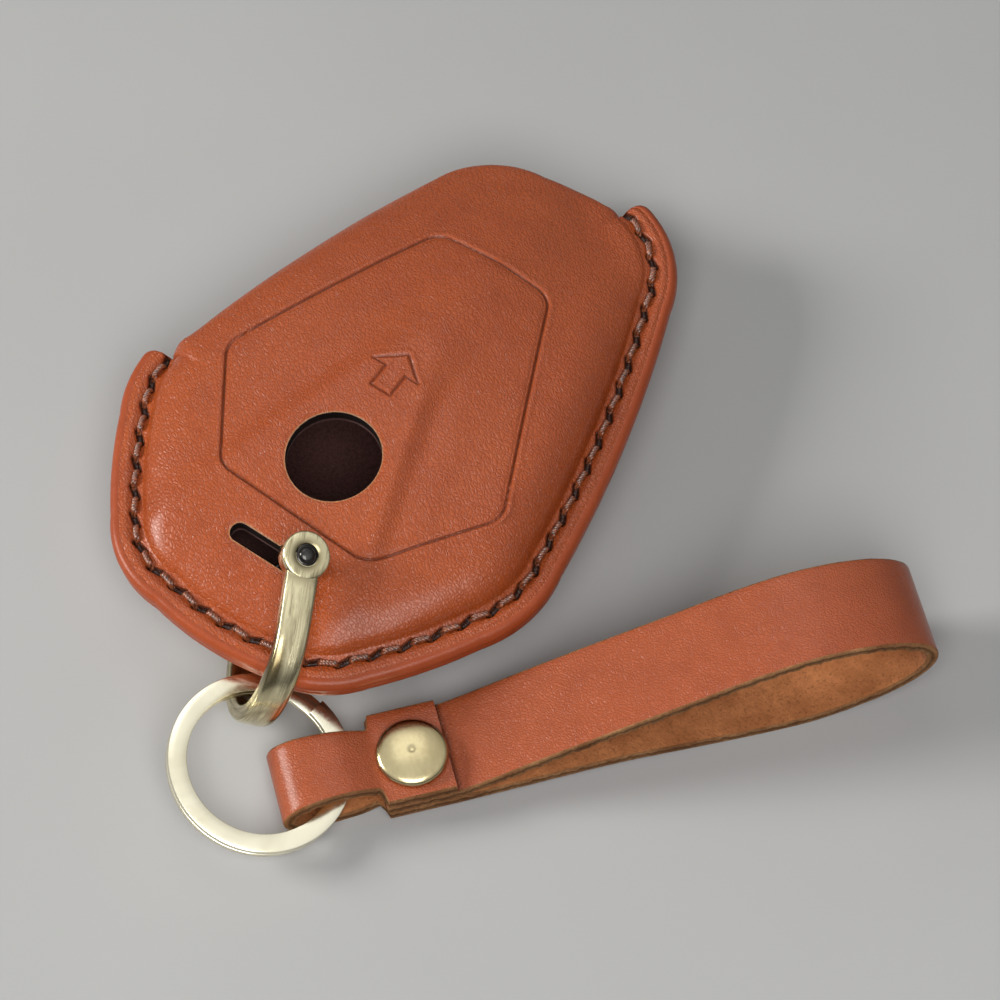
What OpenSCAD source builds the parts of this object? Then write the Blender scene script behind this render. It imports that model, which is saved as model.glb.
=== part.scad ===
// Leather cover for a car key fob, with a screw pin shackle, a flat split ring
// and a riveted leather wrist loop. Lengths are in millimetres.
// The cover lies on its back. +Y runs from the ring end towards the blade end,
// +Z goes up through the front, and the origin is the middle of the flat of the back.

/* [Cover outline] */
// Length of the cover from the ring end to the blade end
cover_l = 81.5; // [70:0.5:95]
// Half width of the ring end between its corner points
ring_half_w = 15.4; // [12:0.1:18]
// Half width at the widest corner points
wide_half_w = 31.6; // [28:0.1:36]
// Distance of the widest corner points from the ring end
wide_y = 24.6; // [21:0.1:28]
// Half width of the blade end between its corner points
blade_half_w = 16.7; // [14:0.1:20]
// Corner radius at the ring end
ring_r = 14; // [12:0.5:16]
// Corner radius at the widest place
wide_r = 17; // [14:0.5:20]
// Corner radius at the blade end
blade_r = 16; // [13:0.5:18]
// How far the ring end bulges
ring_bulge = 0.8; // [0:0.1:1.5]
// How far the short sides by the ring end bulge
low_bulge = 0.4; // [0:0.1:1.5]
// How far the long sides bulge
side_bulge = 1.1; // [0:0.1:2]
// How far the blade end bulges
blade_bulge = 0.4; // [0:0.1:1.5]
// Distance of the middle of the back's flat from the ring end
rest_y = 42; // [38:0.5:45]

/* [Moulded shells] */
// Height of the front's crown over the seam plane
front_h = 8.4; // [7:0.1:10]
// Depth of the back's crown under the seam plane
back_h = 10.5; // [9:0.1:12]
// Thickness of the moulded leather walls
wall_t = 1.6; // [1.2:0.1:1.8]
// Thickness of each leather layer of the flange
flange_t = 1.75; // [1.4:0.05:2]
// Width of the sewn flange outside the walls
flange_w = 4.2; // [3.8:0.1:4.8]
// Width over which a wall curves up into the crown
shoulder_w = 5.6; // [4.8:0.1:6.4]
// Fall of the front's crown from the middle to the ring end
front_ring_fall = 6.5; // [5:0.1:7]
// Fall of the front's crown from the middle to the blade end
front_blade_fall = 8.1; // [6:0.1:9]
// Fall of the back's crown from the middle to the ring end
back_ring_fall = 16.2; // [13:0.1:18]
// Fall of the back's crown from the middle to the blade end
back_blade_fall = 10.1; // [8:0.1:12]
// Fall of the back's crown from the middle to each side
back_side_fall = 11; // [9:0.1:13]
// Excess of the back's crown that is pressed flat
back_flat = 0.5; // [0.3:0.05:0.8]
// Half width of the front's raised middle at its wide end
ridge_half_w = 16; // [14:0.5:18]
// Half width of the front's raised middle at its narrow end
ridge_tip_half_w = 1.4; // [1:0.1:3]
// Distance from the ring end of the raised middle's narrow end
ridge_tip_y = 48.5; // [44:0.5:54]
// Distance from the ring end of the raised middle's wide end
ridge_wide_y = 4; // [2:0.5:8]
// Step down beside the raised middle
ridge_step = 0.5; // [0.2:0.05:0.8]
// Width of that step
ridge_step_w = 1.6; // [1:0.1:2.4]
// Further fall from the step to the flange at the widest place
ridge_side_fall = 3.3; // [2.4:0.1:4]
// Lift of each shell's free edge along the mouth
mouth_lift = 3; // [2:0.1:3.5]
// Most that the free edge is cut back, at the blade end
mouth_trim = 1.3; // [0:0.1:2]
// Height of the short upright lip of the free edges
mouth_lip = 0.8; // [0.6:0.1:1.2]
// Least rise of the crown over the foot of the walls
rim_rise = 0.6; // [0.4:0.05:0.9]

/* [Lining] */
// Thickness of the microfibre lining
lining_t = 0.4; // [0.3:0.05:0.6]
// Glue gap between the leather and the lining
lining_gap = 0.1; // [0.05:0.01:0.15]
// Set back of the lining's edge from the leather's edge
lining_back = 0.3; // [0.2:0.05:0.6]

/* [Front openings] */
// Radius of the round window over the key's badge
window_r = 5.9; // [5:0.1:7]
// Distance of the window's centre from the ring end
window_y = 25.9; // [24:0.1:28]
// Distance of the shackle slots from the ring end
slot_y = 12; // [11:0.1:13]
// Width of the shackle slots
slot_w = 2.4; // [2.2:0.05:2.8]
// Length of the shackle slots over their round ends
slot_l = 10.2; // [9:0.1:12]

/* [Seam] */
// Distance of the stitch line from the flange's edge
stitch_inset = 3.1; // [2.8:0.1:3.4]
// Pitch of the stitches
stitch_pitch = 3.85; // [3.4:0.05:4.6]
// Length of each visible stitch
stitch_l = 3.1; // [2.4:0.1:3.3]
// Radius of the thread
thread_r = 0.42; // [0.3:0.01:0.5]
// Turn of each stitch away from the stitch line
stitch_turn = 12; // [0:1:20]

/* [Shackle] */
// Distance between the middles of the shackle's two arms at the pin
shackle_w = 17.2; // [16.8:0.1:19]
// Radius of the bow's middle line
bow_r = 8.9; // [8.5:0.1:9.6]
// Distance from the pin to the bow's centre
bow_x = 9.1; // [8.6:0.1:10]
// Thickness of the shackle's band
band_t = 2.2; // [1.8:0.1:2.3]
// Width of the shackle's band
band_w = 4.2; // [3.6:0.1:4.4]
// Rounding of the band's edges
band_edge = 0.5; // [0.2:0.05:0.8]
// Outer radius of the eyes
eye_r = 2.8; // [2.4:0.1:3]
// Radius of the screw pin
pin_r = 1; // [0.8:0.05:1.05]
// Radial running clearance of the pin in the eyes
pin_clear = 0.05; // [0.02:0.01:0.08]
// Radius of the pin's domed end
dome_r = 1.5; // [1.3:0.05:1.7]
// Height of the pin's domed end
dome_h = 0.7; // [0.4:0.05:1]
// Depth of the seat for the domed end
dome_seat = 0.6; // [0.4:0.05:0.8]
// Place across the cover of the middle of the pin
shackle_x = 2.1; // [2:0.05:2.3]
// Height of the middle of the pin over the seam plane
shackle_rise = 1.6; // [1.4:0.05:1.8]
// Lean of the pin to the right
shackle_lean = 27; // [25:0.5:28]
// Swing of the shackle about its pin
shackle_swing = 29.3; // [27:0.5:30]

/* [Split ring] */
// Outer radius of the split ring
ring_out_r = 11.25; // [11:0.05:11.5]
// Width of the ring's flat wire
wire_w = 2.3; // [2:0.05:2.4]
// Thickness of the ring's flat wire
wire_t = 0.85; // [0.7:0.05:0.9]
// Gap between the ring's two turns
turn_gap = 0.1; // [0.08:0.01:0.15]
// Place across the cover of the bow's middle line where the ring hangs
hang_x = 7.91; // [7.8:0.01:8]
// Distance of that place before the ring end of the cover
hang_before = 2.99; // [2.9:0.01:3.1]
// Height of that place
hang_z = 4.97; // [4.9:0.01:5.1]
// Distance from the bow's middle line to the ring's inner edge
hang_gap = 1.49; // [1.45:0.01:1.6]
// Direction in which the ring lies from there, seen from above
hang_turn = -41.8; // [-43:0.1:-40]
// Rise of the ring's centre above that place
hang_rise = 7.1; // [6:0.1:8]
// Direction of the axis about which the ring leans
ring_turn = 105.2; // [100:0.1:110]
// Lean of the ring
ring_lean = 16.4; // [15:0.1:17]

/* [Wrist loop] */
// Width of the strap
strap_w = 12; // [10:0.5:13]
// Thickness of the strap
strap_t = 1.5; // [1.2:0.05:1.6]
// Length of the loop from the rivet to its far bend
loop_l = 63.6; // [55:0.1:80]
// Height of the loop
loop_h = 17.3; // [14:0.1:22]
// Length of the pad from the rivet to its cut end
pad_l = 4.2; // [3.8:0.1:6]
// Distance from the rivet to the shoulders of the tongue
shoulder_s = 4.4; // [4.2:0.1:5]
// Reach of the tongue's fold from the rivet
tongue_s = 16.8; // [16.4:0.1:18]
// Width of the tongue at the shoulders
tongue_w = 8; // [7:0.1:9]
// Width of the tongue at its fold
fold_w = 9.4; // [8:0.1:10]
// Height of the tongue's hollow
tongue_h = 4; // [3.8:0.1:5]
// Distance of the rivet past the ring's outer edge
rivet_past = 6.92; // [6.8:0.01:7.4]
// Direction of the rivet from the ring's centre
rivet_turn = 39.75; // [39:0.05:41]
// Direction of the strap
strap_turn = 49.8; // [48:0.1:52]
// Shift of the strap's middle past the rivet
strap_shift = 0.5; // [0:0.1:1]
// Radius of the rivet's caps
cap_r = 4.4; // [3.6:0.1:4.6]
// Height of the rivet's upper cap
cap_h = 1.6; // [1.2:0.1:2]
// Height of the rivet's lower cap
foot_h = 0.85; // [0.7:0.05:1]
// Radius of the rivet's post
post_r = 1.5; // [1.2:0.1:2]
// Wall of the upper cap's socket round the post
socket_t = 0.5; // [0.4:0.05:0.7]
// Radial clearance of the post in its socket
post_clear = 0.03; // [0.02:0.01:0.05]
// Gap between the layers of the strap
layer_gap = 0.05; // [0.03:0.01:0.08]

/* [Hidden] */

leather = "peru";
leather_dark = "sienna";
microfibre = "darkslategray";
thread_colour = "saddlebrown";
brass = "darkgoldenrod";
steel = "dimgray";

// Overrun of all cuts
over = 1;
// Height of the seam plane over the back's flat
seam_z = back_h;
shoulder_power = 2.2;
step_share = 0.5;

// The outline's six corner points, anticlockwise from the left of the ring end
corner_points = [[-ring_half_w, 0], [ring_half_w, 0], [wide_half_w, wide_y],
                 [blade_half_w, cover_l], [-blade_half_w, cover_l], [-wide_half_w, wide_y]];
corner_radii = [ring_r, ring_r, wide_r, blade_r, blade_r, wide_r];
side_bulges = [ring_bulge, low_bulge, side_bulge, blade_bulge, side_bulge, low_bulge];

// Outward direction of the side that starts at corner i
function side_normal(i) =
    let(a = corner_points[i % 6], b = corner_points[(i + 1) % 6])
    let(t = atan2(b[1] - a[1], b[0] - a[0]) - 90)
    t < side_floor(i) ? t + 360 : t;
function side_floor(i) = -100;
function turn_at(i) = let(t = side_normal(i) - side_normal(i + 5)) t < 0 ? t + 360 : t;
function unit(a) = [cos(a), sin(a)];
function corner_centre(i) =
    let(c = i % 6, half = turn_at(c) / 2)
    corner_points[c] - corner_radii[c] / cos(half) * unit(side_normal(c + 5) + half);

// A station is a point of the outline with its outward direction
function arc_station(i, share) =
    let(a = side_normal(i + 5) + turn_at(i) * share)
    [corner_centre(i) + corner_radii[i] * unit(a), unit(a)];
function side_station(i, share) =
    let(n = unit(side_normal(i)), j = (i + 1) % 6)
    let(a = corner_centre(i) + corner_radii[i] * n, b = corner_centre(j) + corner_radii[j] * n)
    [a * (1 - share) + b * share + side_bulges[i] * 4 * share * (1 - share) * n, n];

// Along the mouth: share of the corner or side, share of the mouth's lift and of its trim
blade_turn_shares = [[0.855, 0.03, 0], [0.91, 0.18, 0.05], [0.96, 0.28, 0.15], [1, 0.3, 0.3]];
blade_corner_shares = [[0, 0.17, 0.75], [0.2, 0.17, 0.95], [0.4, 0.17, 1], [0.6, 0.2, 1],
                       [0.8, 0.3, 0.9], [1, 0.42, 0.85]];
mouth_side_shares = [[0.14, 0.5, 0.8], [0.29, 0.62, 0.75], [0.43, 0.75, 0.8], [0.57, 0.9, 0.75],
                     [0.71, 1, 0.5], [0.86, 1.05, 0.2]];
wide_turn_shares = [[0, 1.05, 0], [0.1, 1.05, -0.1], [0.18, 0.95, -0.2], [0.235, 0.6, -0.2], [0.275, 0.03, 0]];

// A station of the mouth also has these two shares, which a sewn station lacks
arc_shares = [0, 0.25, 0.5, 0.75, 1];
wide_shares = [0, 0.17, 0.33, 0.5, 0.67, 0.83, 1];
flanged_stations = concat(
    [for (k = [0:4]) arc_station(0, arc_shares[k])],
    [for (k = [1:2]) side_station(0, k / 3)],
    [for (k = [0:4]) arc_station(1, arc_shares[k])],
    [for (k = [1:3]) side_station(1, k / 4)],
    [for (k = [0:6]) arc_station(2, wide_shares[k])],
    [for (k = [1:6]) side_station(2, k / 7)],
    [for (s = [0, 0.17, 0.34, 0.5, 0.66, 0.84]) arc_station(3, s)]);
mouth_stations = concat(
    [for (s = blade_turn_shares) concat(arc_station(3, s[0]), [s[1], s[2]])],
    [concat(side_station(3, 0.5), [0.17, 0.65])],
    [for (s = blade_corner_shares) concat(arc_station(4, s[0]), [s[1], s[2]])],
    [for (s = mouth_side_shares) concat(side_station(4, s[0]), [s[1], s[2]])],
    [for (s = wide_turn_shares) concat(arc_station(5, s[0]), [s[1], s[2]])]);
last_stations = concat(
    [for (s = [0.286, 0.43, 0.58, 0.72, 0.86, 1]) arc_station(5, s)],
    [for (k = [1:3]) side_station(5, k / 4)]);
stations = concat(flanged_stations, mouth_stations, last_stations);
count = len(stations);

function sewn(s) = s[2] == undef;
function lift(s) = sewn(s) ? 0 : s[2] * mouth_lift;
function trim(s) = sewn(s) ? 0 : s[3] * mouth_trim;
function inset(s, d) = s[0] - (d + trim(s)) * s[1];

// Height of the front's crown over the seam plane, with its raised middle
function ridge_half(y) =
    let(grow = (ridge_half_w - ridge_tip_half_w) / (ridge_tip_y - ridge_wide_y))
    min(max(ridge_tip_half_w + (ridge_tip_y - y) * grow, ridge_tip_half_w), ridge_half_w);
function smooth(u) = let(v = min(max(u, 0), 1)) v * v * (3 - 2 * v);
function front_crown(p) =
    let(past = abs(p[0]) - ridge_half(p[1]))
    let(along = (p[1] - rest_y) / (p[1] < rest_y ? rest_y : cover_l - rest_y))
    front_h - (p[1] < rest_y ? front_ring_fall : front_blade_fall) * along * along
    - ridge_step * smooth(past / ridge_step_w) - ridge_side_fall * max(past, 0) / wide_half_w;
function back_crown(p) =
    let(along = (p[1] - rest_y) / (p[1] < rest_y ? rest_y : cover_l - rest_y))
    min(back_h, back_h + back_flat
        - (p[1] < rest_y ? back_ring_fall : back_blade_fall) * along * along
        - back_side_fall * pow(p[0] / wide_half_w, 2));
function crown(front, p) = max(front ? front_crown(p) : back_crown(p), flange_t + rim_rise);

// Height at which a wall starts to curve, and the curve from there to the crown
function wall_base(s) = sewn(s) ? flange_t : lift(s) + mouth_lip;
function rise(share) = pow(1 - pow(1 - share, shoulder_power), 1 / shoulder_power);
function wall_point(s, front, depth, share) =
    let(p = inset(s, flange_w + depth + share * (shoulder_w - depth)))
    let(full = crown(front, p) - depth, base = min(wall_base(s), full))
    [p[0], p[1], base + (full - base) * rise(share)];
function crown_point(s, front, depth, share) =
    let(top = inset(s, flange_w + shoulder_w), p = crown_middle + (top - crown_middle) * share)
    [p[0], p[1], crown(front, p) - depth];
function edge_point(s, d, z) = let(p = inset(s, d)) [p[0], p[1], z];
function hem_point(s, front, depth) =
    let(foot = wall_point(s, front, depth, 0))
    [foot[0], foot[1], min(lift(s) + lining_back, foot[2] - lining_gap)];
middle_share = 0.47;
crown_middle = [0, cover_l * middle_share];

// Rounded outer edge of a flange layer, or of the free edge along the mouth,
// as shares of the layer's thickness and of the lip's height
flange_edge_shares = [[0.06, 0], [0, 0.34], [0.14, 0.74], [0.5, 1]];
free_edge_shares = [[0.6, 0], [0.2, 0.12], [0.05, 0.35], [0, 0.65]];
function rim_point(s, k) = sewn(s)
    ? edge_point(s, flange_edge_shares[k][0] * flange_t, flange_edge_shares[k][1] * flange_t)
    : edge_point(s, flange_w + free_edge_shares[k][0] * mouth_lip,
                 lift(s) + free_edge_shares[k][1] * mouth_lip);

outer_wall_shares = [1, 0.72, 0.46, 0.25, 0.11, 0.03, 0];
outer_crown_shares = [0.1, 0.25, 0.42, 0.6, 0.8];
inner_wall_shares = [0, 0.1, 0.35, 0.7, 1];
inner_crown_shares = [0.75, 0.45, 0.15];

function reversed(list) = [for (i = [len(list) - 1:-1:0]) list[i]];

// A closed skin through rings of points with a pole at each end, from the outside in.
// Inside out, its facets lie as those of the skin that it lines.
module skin(first, rings, last, front, inside_out = false) {
    n = len(rings[0]);
    points = concat([first], [for (r = rings) each r], [last]);
    flat = [for (p = points) [p[0], p[1] - rest_y, front ? seam_z + p[2] : seam_z - p[2]]];
    end = len(flat) - 1;
    faces = concat(
        [for (i = [0:n - 1]) [0, 1 + (i + 1) % n, 1 + i]],
        [for (r = [0:len(rings) - 2]) for (i = [0:n - 1])
            let(a = 1 + r * n + i, b = 1 + r * n + (i + 1) % n) each [[a, b, b + n], [a, b + n, a + n]]],
        [for (i = [0:n - 1])
            let(a = end - n + i, b = end - n + (i + 1) % n) [a, b, end]]);
    kept = front != inside_out;
    polyhedron(points = flat, faces = kept ? faces : [for (f = faces) [f[2], f[1], f[0]]], convexity = 6);
}

module shell(front) {
    rings = concat(
        [for (c = outer_crown_shares) [for (s = stations) crown_point(s, front, 0, c)]],
        [for (c = outer_wall_shares) [for (s = stations) wall_point(s, front, 0, c)]],
        [for (k = [3:-1:0]) [for (s = stations) rim_point(s, k)]],
        [[for (s = stations) edge_point(s, flange_w + wall_t, lift(s))]],
        [for (c = inner_wall_shares) [for (s = stations) wall_point(s, front, wall_t, c)]],
        [for (c = inner_crown_shares) [for (s = stations) crown_point(s, front, wall_t, c)]]);
    skin(crown_point(stations[0], front, 0, 0), rings, crown_point(stations[0], front, wall_t, 0), front);
}

module lining(front) {
    near = wall_t + lining_gap;
    far = near + lining_t;
    rings = concat(
        [for (c = reversed(inner_crown_shares)) [for (s = stations) crown_point(s, front, far, c)]],
        [for (c = reversed(inner_wall_shares)) [for (s = stations) wall_point(s, front, far, c)]],
        [[for (s = stations) hem_point(s, front, far)]],
        [[for (s = stations) hem_point(s, front, near)]],
        [for (c = inner_wall_shares) [for (s = stations) wall_point(s, front, near, c)]],
        [for (c = inner_crown_shares) [for (s = stations) crown_point(s, front, near, c)]]);
    skin(crown_point(stations[0], front, far, 0), rings, crown_point(stations[0], front, near, 0), front, true);
}

// The shackle's slot through a shell and its lining
module slot_cut(front) {
    z = front ? seam_z : -over;
    run = slot_l - slot_w;
    high = front ? front_h + over : seam_z + over;
    translate([0, slot_y - rest_y, z]) {
        translate([-run / 2, -slot_w / 2, 0])
            cube([run, slot_w, high]);
        for (x = [-run / 2, run / 2])
            translate([x, 0, 0])
                cylinder(r = slot_w / 2, h = high, $fn = 48);
    }
}

module window_cut() {
    translate([0, window_y - rest_y, seam_z])
        cylinder(r = window_r, h = front_h + over, $fn = 96);
}

module front_shell() {
    color(leather)
        difference() {
            shell(true);
            window_cut();
            slot_cut(true);
        }
}

module back_shell() {
    color(leather_dark)
        difference() {
            shell(false);
            slot_cut(false);
        }
}

module front_lining() {
    color(microfibre)
        difference() {
            lining(true);
            window_cut();
            slot_cut(true);
        }
}

module back_lining() {
    color(microfibre)
        difference() {
            lining(false);
            slot_cut(false);
        }
}

// The stitch line follows the sewn stations, at equal pitch along its length
seam_stations = concat(last_stations, flanged_stations);
seam_line = [for (s = seam_stations) inset(s, stitch_inset)];
function length_to(i) = i == 0 ? 0 : norm(seam_line[i] - seam_line[i - 1]) + length_to(i - 1);
seam_lengths = [for (i = [0:len(seam_line) - 1]) length_to(i)];
seam_total = seam_lengths[len(seam_line) - 1];
stitch_count = floor((seam_total - stitch_l) / stitch_pitch) + 1;
seam_start = (seam_total - (stitch_count - 1) * stitch_pitch) / 2;
function leg(d) = max([for (i = [0:len(seam_line) - 2]) if (seam_lengths[i] <= d) i]);
function seam_point(d) =
    let(i = leg(d), t = (d - seam_lengths[i]) / (seam_lengths[i + 1] - seam_lengths[i]))
    seam_line[i] * (1 - t) + seam_line[i + 1] * t;
function seam_angle(d) = let(v = seam_line[leg(d) + 1] - seam_line[leg(d)]) atan2(v[1], v[0]);

// One stitch, a spindle that lies on the flange
spindle_shares = [0.45, 0.9, 1];
module stitch(turn) {
    half = stitch_l / 2;
    rotate([0, 0, turn])
        rotate([0, 90, 0])
            rotate_extrude($fn = 32)
                polygon([[0, -half], [thread_r * spindle_shares[0], -half],
                         [thread_r, -half * spindle_shares[0]], [thread_r, half * spindle_shares[0]],
                         [thread_r * spindle_shares[0], half], [0, half]]);
}

module seam_thread() {
    color(thread_colour)
        for (k = [0:stitch_count - 1]) {
            d = seam_start + k * stitch_pitch;
            p = seam_point(d);
            for (side = [-1, 1])
                translate([p[0], p[1] - rest_y, seam_z + side * (flange_t + thread_r)])
                    stitch(seam_angle(d) - side * stitch_turn);
        }
}

// Places of the shackle and its pin: the local Y axis is the pin, local X runs to the bow
pin_middle = [shackle_x, slot_y - rest_y, seam_z + shackle_rise];
arm_half = shackle_w / 2;
arm_reach = norm([bow_x, arm_half]);
arm_turn = atan2(arm_half, -bow_x) - acos(bow_r / arm_reach);
pin_l = shackle_w + band_t;

module at_pin(swing) {
    translate(pin_middle)
        rotate([0, shackle_lean, 0])
            rotate([0, 0, swing])
                rotate([90, 0, -90])
                    children();
}

// Section of the band: its thickness outwards, then its width along the swing's plane
half_t = band_t / 2;
half_w = band_w / 2;
band_section = [[-half_t, -half_w + band_edge], [-half_t + band_edge, -half_w],
                [half_t - band_edge, -half_w], [half_t, -half_w + band_edge],
                [half_t, half_w - band_edge], [half_t - band_edge, half_w],
                [-half_t + band_edge, half_w], [-half_t, half_w - band_edge]];

// The band's middle line runs along an arm, round the bow and back, with its outward direction
bow_steps = 24;
band_line = concat([[[0, arm_half], arm_turn]],
    [for (k = [0:bow_steps]) let(t = arm_turn * (1 - 2 * k / bow_steps)) [[bow_x, 0] + bow_r * unit(t), t]],
    [[[0, -arm_half], -arm_turn]]);

module shackle_band() {
    n = len(band_line);
    m = len(band_section);
    points = [for (q = band_line) for (c = band_section)
        let(p = q[0] + c[0] * unit(q[1])) [p[0], p[1], c[1]]];
    faces = concat(
        [[for (k = [0:m - 1]) k]],
        [for (i = [0:n - 2]) for (k = [0:m - 1])
            let(a = m * i + k, b = m * i + (k + 1) % m) each [[a, a + m, b + m], [a, b + m, b]]],
        [[for (k = [m - 1:-1:0]) m * (n - 1) + k]]);
    polyhedron(points = points, faces = faces, convexity = 6);
}

module shackle_eye(side) {
    translate([0, side * arm_half, 0])
        rotate([90, 0, 0])
            cylinder(r = eye_r, h = band_t, center = true, $fn = 96);
}

module shackle() {
    color(brass)
        at_pin(shackle_swing)
            difference() {
                union() {
                    shackle_band();
                    shackle_eye(1);
                    shackle_eye(-1);
                }
                rotate([90, 0, 0])
                    cylinder(r = pin_r + pin_clear, h = pin_l + 2 * over, center = true, $fn = 64);
                translate([0, pin_l / 2 - dome_seat, 0])
                    rotate([-90, 0, 0])
                        cylinder(r = dome_r + pin_clear, h = over + dome_seat, $fn = 64);
            }
}

module shackle_screw() {
    seat = pin_l / 2 - dome_seat + pin_clear;
    color(steel)
        translate(pin_middle)
            rotate([0, shackle_lean, 0])
                rotate_extrude($fn = 96)
                    polygon([[0, -pin_l / 2], [pin_r, -pin_l / 2], [pin_r, seat], [dome_r, seat],
                             [dome_r, seat + dome_h * dome_shares[0]],
                             [dome_r * dome_shares[1], seat + dome_h * dome_shares[2]],
                             [dome_r * dome_shares[3], seat + dome_h], [0, seat + dome_h]]);
}
dome_shares = [0.4, 0.82, 0.8, 0.45];

// The split ring is one flat wire of nearly two turns, with a step where it climbs
ring_step = 20;
turn_step = 10;
wire_turns = [for (a = [ring_step:turn_step:720 - ring_step]) a];
wire_rise = wire_t + turn_gap;
function wire_z(a) = wire_rise * (smooth((a - 360 + ring_step) / (2 * ring_step)) - step_share);

ring_reach = ring_out_r - wire_w - hang_gap;
ring_middle = [hang_x + ring_reach * cos(hang_rise) * cos(hang_turn),
               ring_reach * cos(hang_rise) * sin(hang_turn) - hang_before - rest_y,
               hang_z + ring_reach * sin(hang_rise)];
module split_ring() {
    n = len(wire_turns);
    inner = ring_out_r - wire_w;
    points = [for (a = wire_turns) let(z = wire_z(a))
        each [[inner * cos(a), inner * sin(a), z - wire_t / 2],
              [ring_out_r * cos(a), ring_out_r * sin(a), z - wire_t / 2],
              [ring_out_r * cos(a), ring_out_r * sin(a), z + wire_t / 2],
              [inner * cos(a), inner * sin(a), z + wire_t / 2]]];
    faces = concat(
        [[0, 1, 2], [0, 2, 3]],
        [for (i = [0:n - 2]) for (k = [0:3])
            let(a = 4 * i + k, b = 4 * i + (k + 1) % 4) each [[a, a + 4, b + 4], [a, b + 4, b]]],
        [[4 * n - 4, 4 * n - 2, 4 * n - 3], [4 * n - 4, 4 * n - 1, 4 * n - 2]]);
    color(brass)
        translate(ring_middle)
            rotate([0, 0, ring_turn])
                rotate([ring_lean, 0, 0])
                    polyhedron(points = points, faces = faces, convexity = 8);
}

// The strap's layers at the rivet, counted from the table
layer_1 = foot_h + layer_gap + strap_t / 2;
layer_2 = layer_1 + strap_t + layer_gap;
layer_3 = layer_2 + strap_t + layer_gap;
floor_z = strap_t / 2;
roof_z = strap_t + tongue_h + strap_t / 2;

// Middle line of the strap seen from its side: shares of the tongue's reach and height,
// then shares of the loop's length and height
tongue_shares = [[0.39, 0.88], [0.52, 0.99], [0.7, 1], [0.84, 0.9], [0.93, 0.7], [0.955, 0.44],
                 [0.92, 0.2], [0.83, 0.04], [0.72, 0], [0.45, 0]];
loop_shares = [[0.2, 0.11], [0.38, 0.125], [0.53, 0.082], [0.645, 0.05], [0.72, 0.0435], [0.775, 0.058],
               [0.84, 0.12], [0.905, 0.215], [0.955, 0.345], [0.982, 0.48], [0.988, 0.61], [0.972, 0.74],
               [0.93, 0.855], [0.875, 0.925], [0.81, 0.957], [0.74, 0.948], [0.64, 0.868],
               [0.52, 0.725], [0.38, 0.567], [0.27, 0.435], [0.17, 0.305], [0.115, 0.235]];
strap_line = concat(
    [[pad_l, layer_3], [-shoulder_s, layer_3]],
    [for (q = tongue_shares) [-q[0] * tongue_s, floor_z + q[1] * (roof_z - floor_z)]],
    [[-cap_r - layer_gap, layer_1], [pad_l, layer_1]],
    [for (q = loop_shares) [q[0] * loop_l, q[1] * loop_h]],
    [[pad_l, layer_2], [-shoulder_s, layer_2]]);

// Direction square to a line of points at point i
function line_normal(line, i) =
    let(a = line[max(i - 1, 0)], b = line[min(i + 1, len(line) - 1)], v = b - a)
    [-v[1], v[0]] / norm(v);
function line_side(line, offset) = [for (i = [0:len(line) - 1]) line[i] + offset * line_normal(line, i)];
rivet_reach = ring_out_r + rivet_past;
module at_strap() {
    translate([ring_middle[0] + rivet_reach * cos(rivet_turn), ring_middle[1] + rivet_reach * sin(rivet_turn), 0])
        rotate([0, 0, strap_turn])
            children();
}

module strap_band() {
    side = strap_w / 2;
    color(leather)
        at_strap()
            difference() {
                translate([0, strap_shift, 0])
                    rotate([90, 0, 0])
                        linear_extrude(strap_w, center = true)
                            polygon(concat(line_side(strap_line, strap_t / 2),
                                           reversed(line_side(strap_line, -strap_t / 2))));
                for (k = [-1, 1])
                    translate([0, strap_shift, -over])
                        linear_extrude(loop_h + over)
                            polygon([[-shoulder_s, k * (side + over)], [-shoulder_s, k * tongue_w / 2],
                                     [-tongue_s - over, k * fold_w / 2], [-tongue_s - over, k * (side + over)]]);
                cylinder(r = post_r + socket_t + post_clear, h = loop_h / 2, $fn = 64);
            }
}

stack_top = layer_3 + strap_t / 2 + layer_gap;
module rivet_cap() {
    color(brass)
        at_strap()
            difference() {
                rotate_extrude($fn = 96)
                    polygon([[0, foot_h + layer_gap], [post_r + socket_t, foot_h + layer_gap],
                             [post_r + socket_t, stack_top], [cap_r, stack_top],
                             [cap_r, stack_top + cap_h * cap_shares[0]],
                             [cap_r * cap_shares[1], stack_top + cap_h * cap_shares[2]],
                             [cap_r * cap_shares[3], stack_top + cap_h], [0, stack_top + cap_h]]);
                translate([0, 0, -over])
                    cylinder(r = post_r + post_clear, h = stack_top + over, $fn = 64);
            }
}
cap_shares = [0.45, 0.9, 0.85, 0.65];

module rivet_post() {
    color(brass)
        at_strap()
            rotate_extrude($fn = 96)
                polygon([[0, 0], [cap_r * cap_shares[1], 0], [cap_r, foot_h * cap_shares[0]],
                         [cap_r, foot_h], [post_r, foot_h], [post_r, stack_top - layer_gap],
                         [0, stack_top - layer_gap]]);
}

front_shell();
back_shell();
front_lining();
back_lining();
seam_thread();
shackle();
shackle_screw();
split_ring();
strap_band();
rivet_cap();
rivet_post();
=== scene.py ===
import math

import bpy
import numpy as np
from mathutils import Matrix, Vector


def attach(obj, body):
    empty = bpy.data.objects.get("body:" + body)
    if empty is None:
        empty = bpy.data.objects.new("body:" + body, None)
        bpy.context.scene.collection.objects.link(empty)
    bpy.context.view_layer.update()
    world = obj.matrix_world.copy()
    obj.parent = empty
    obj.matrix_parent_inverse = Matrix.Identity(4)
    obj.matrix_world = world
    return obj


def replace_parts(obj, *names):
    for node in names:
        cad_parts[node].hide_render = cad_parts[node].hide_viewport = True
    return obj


# Looks of a leather cover for a car key. Lengths are in millimetres until a mesh is made.
# Names in capitals are the CAD's own dimensions where both have them.

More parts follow.
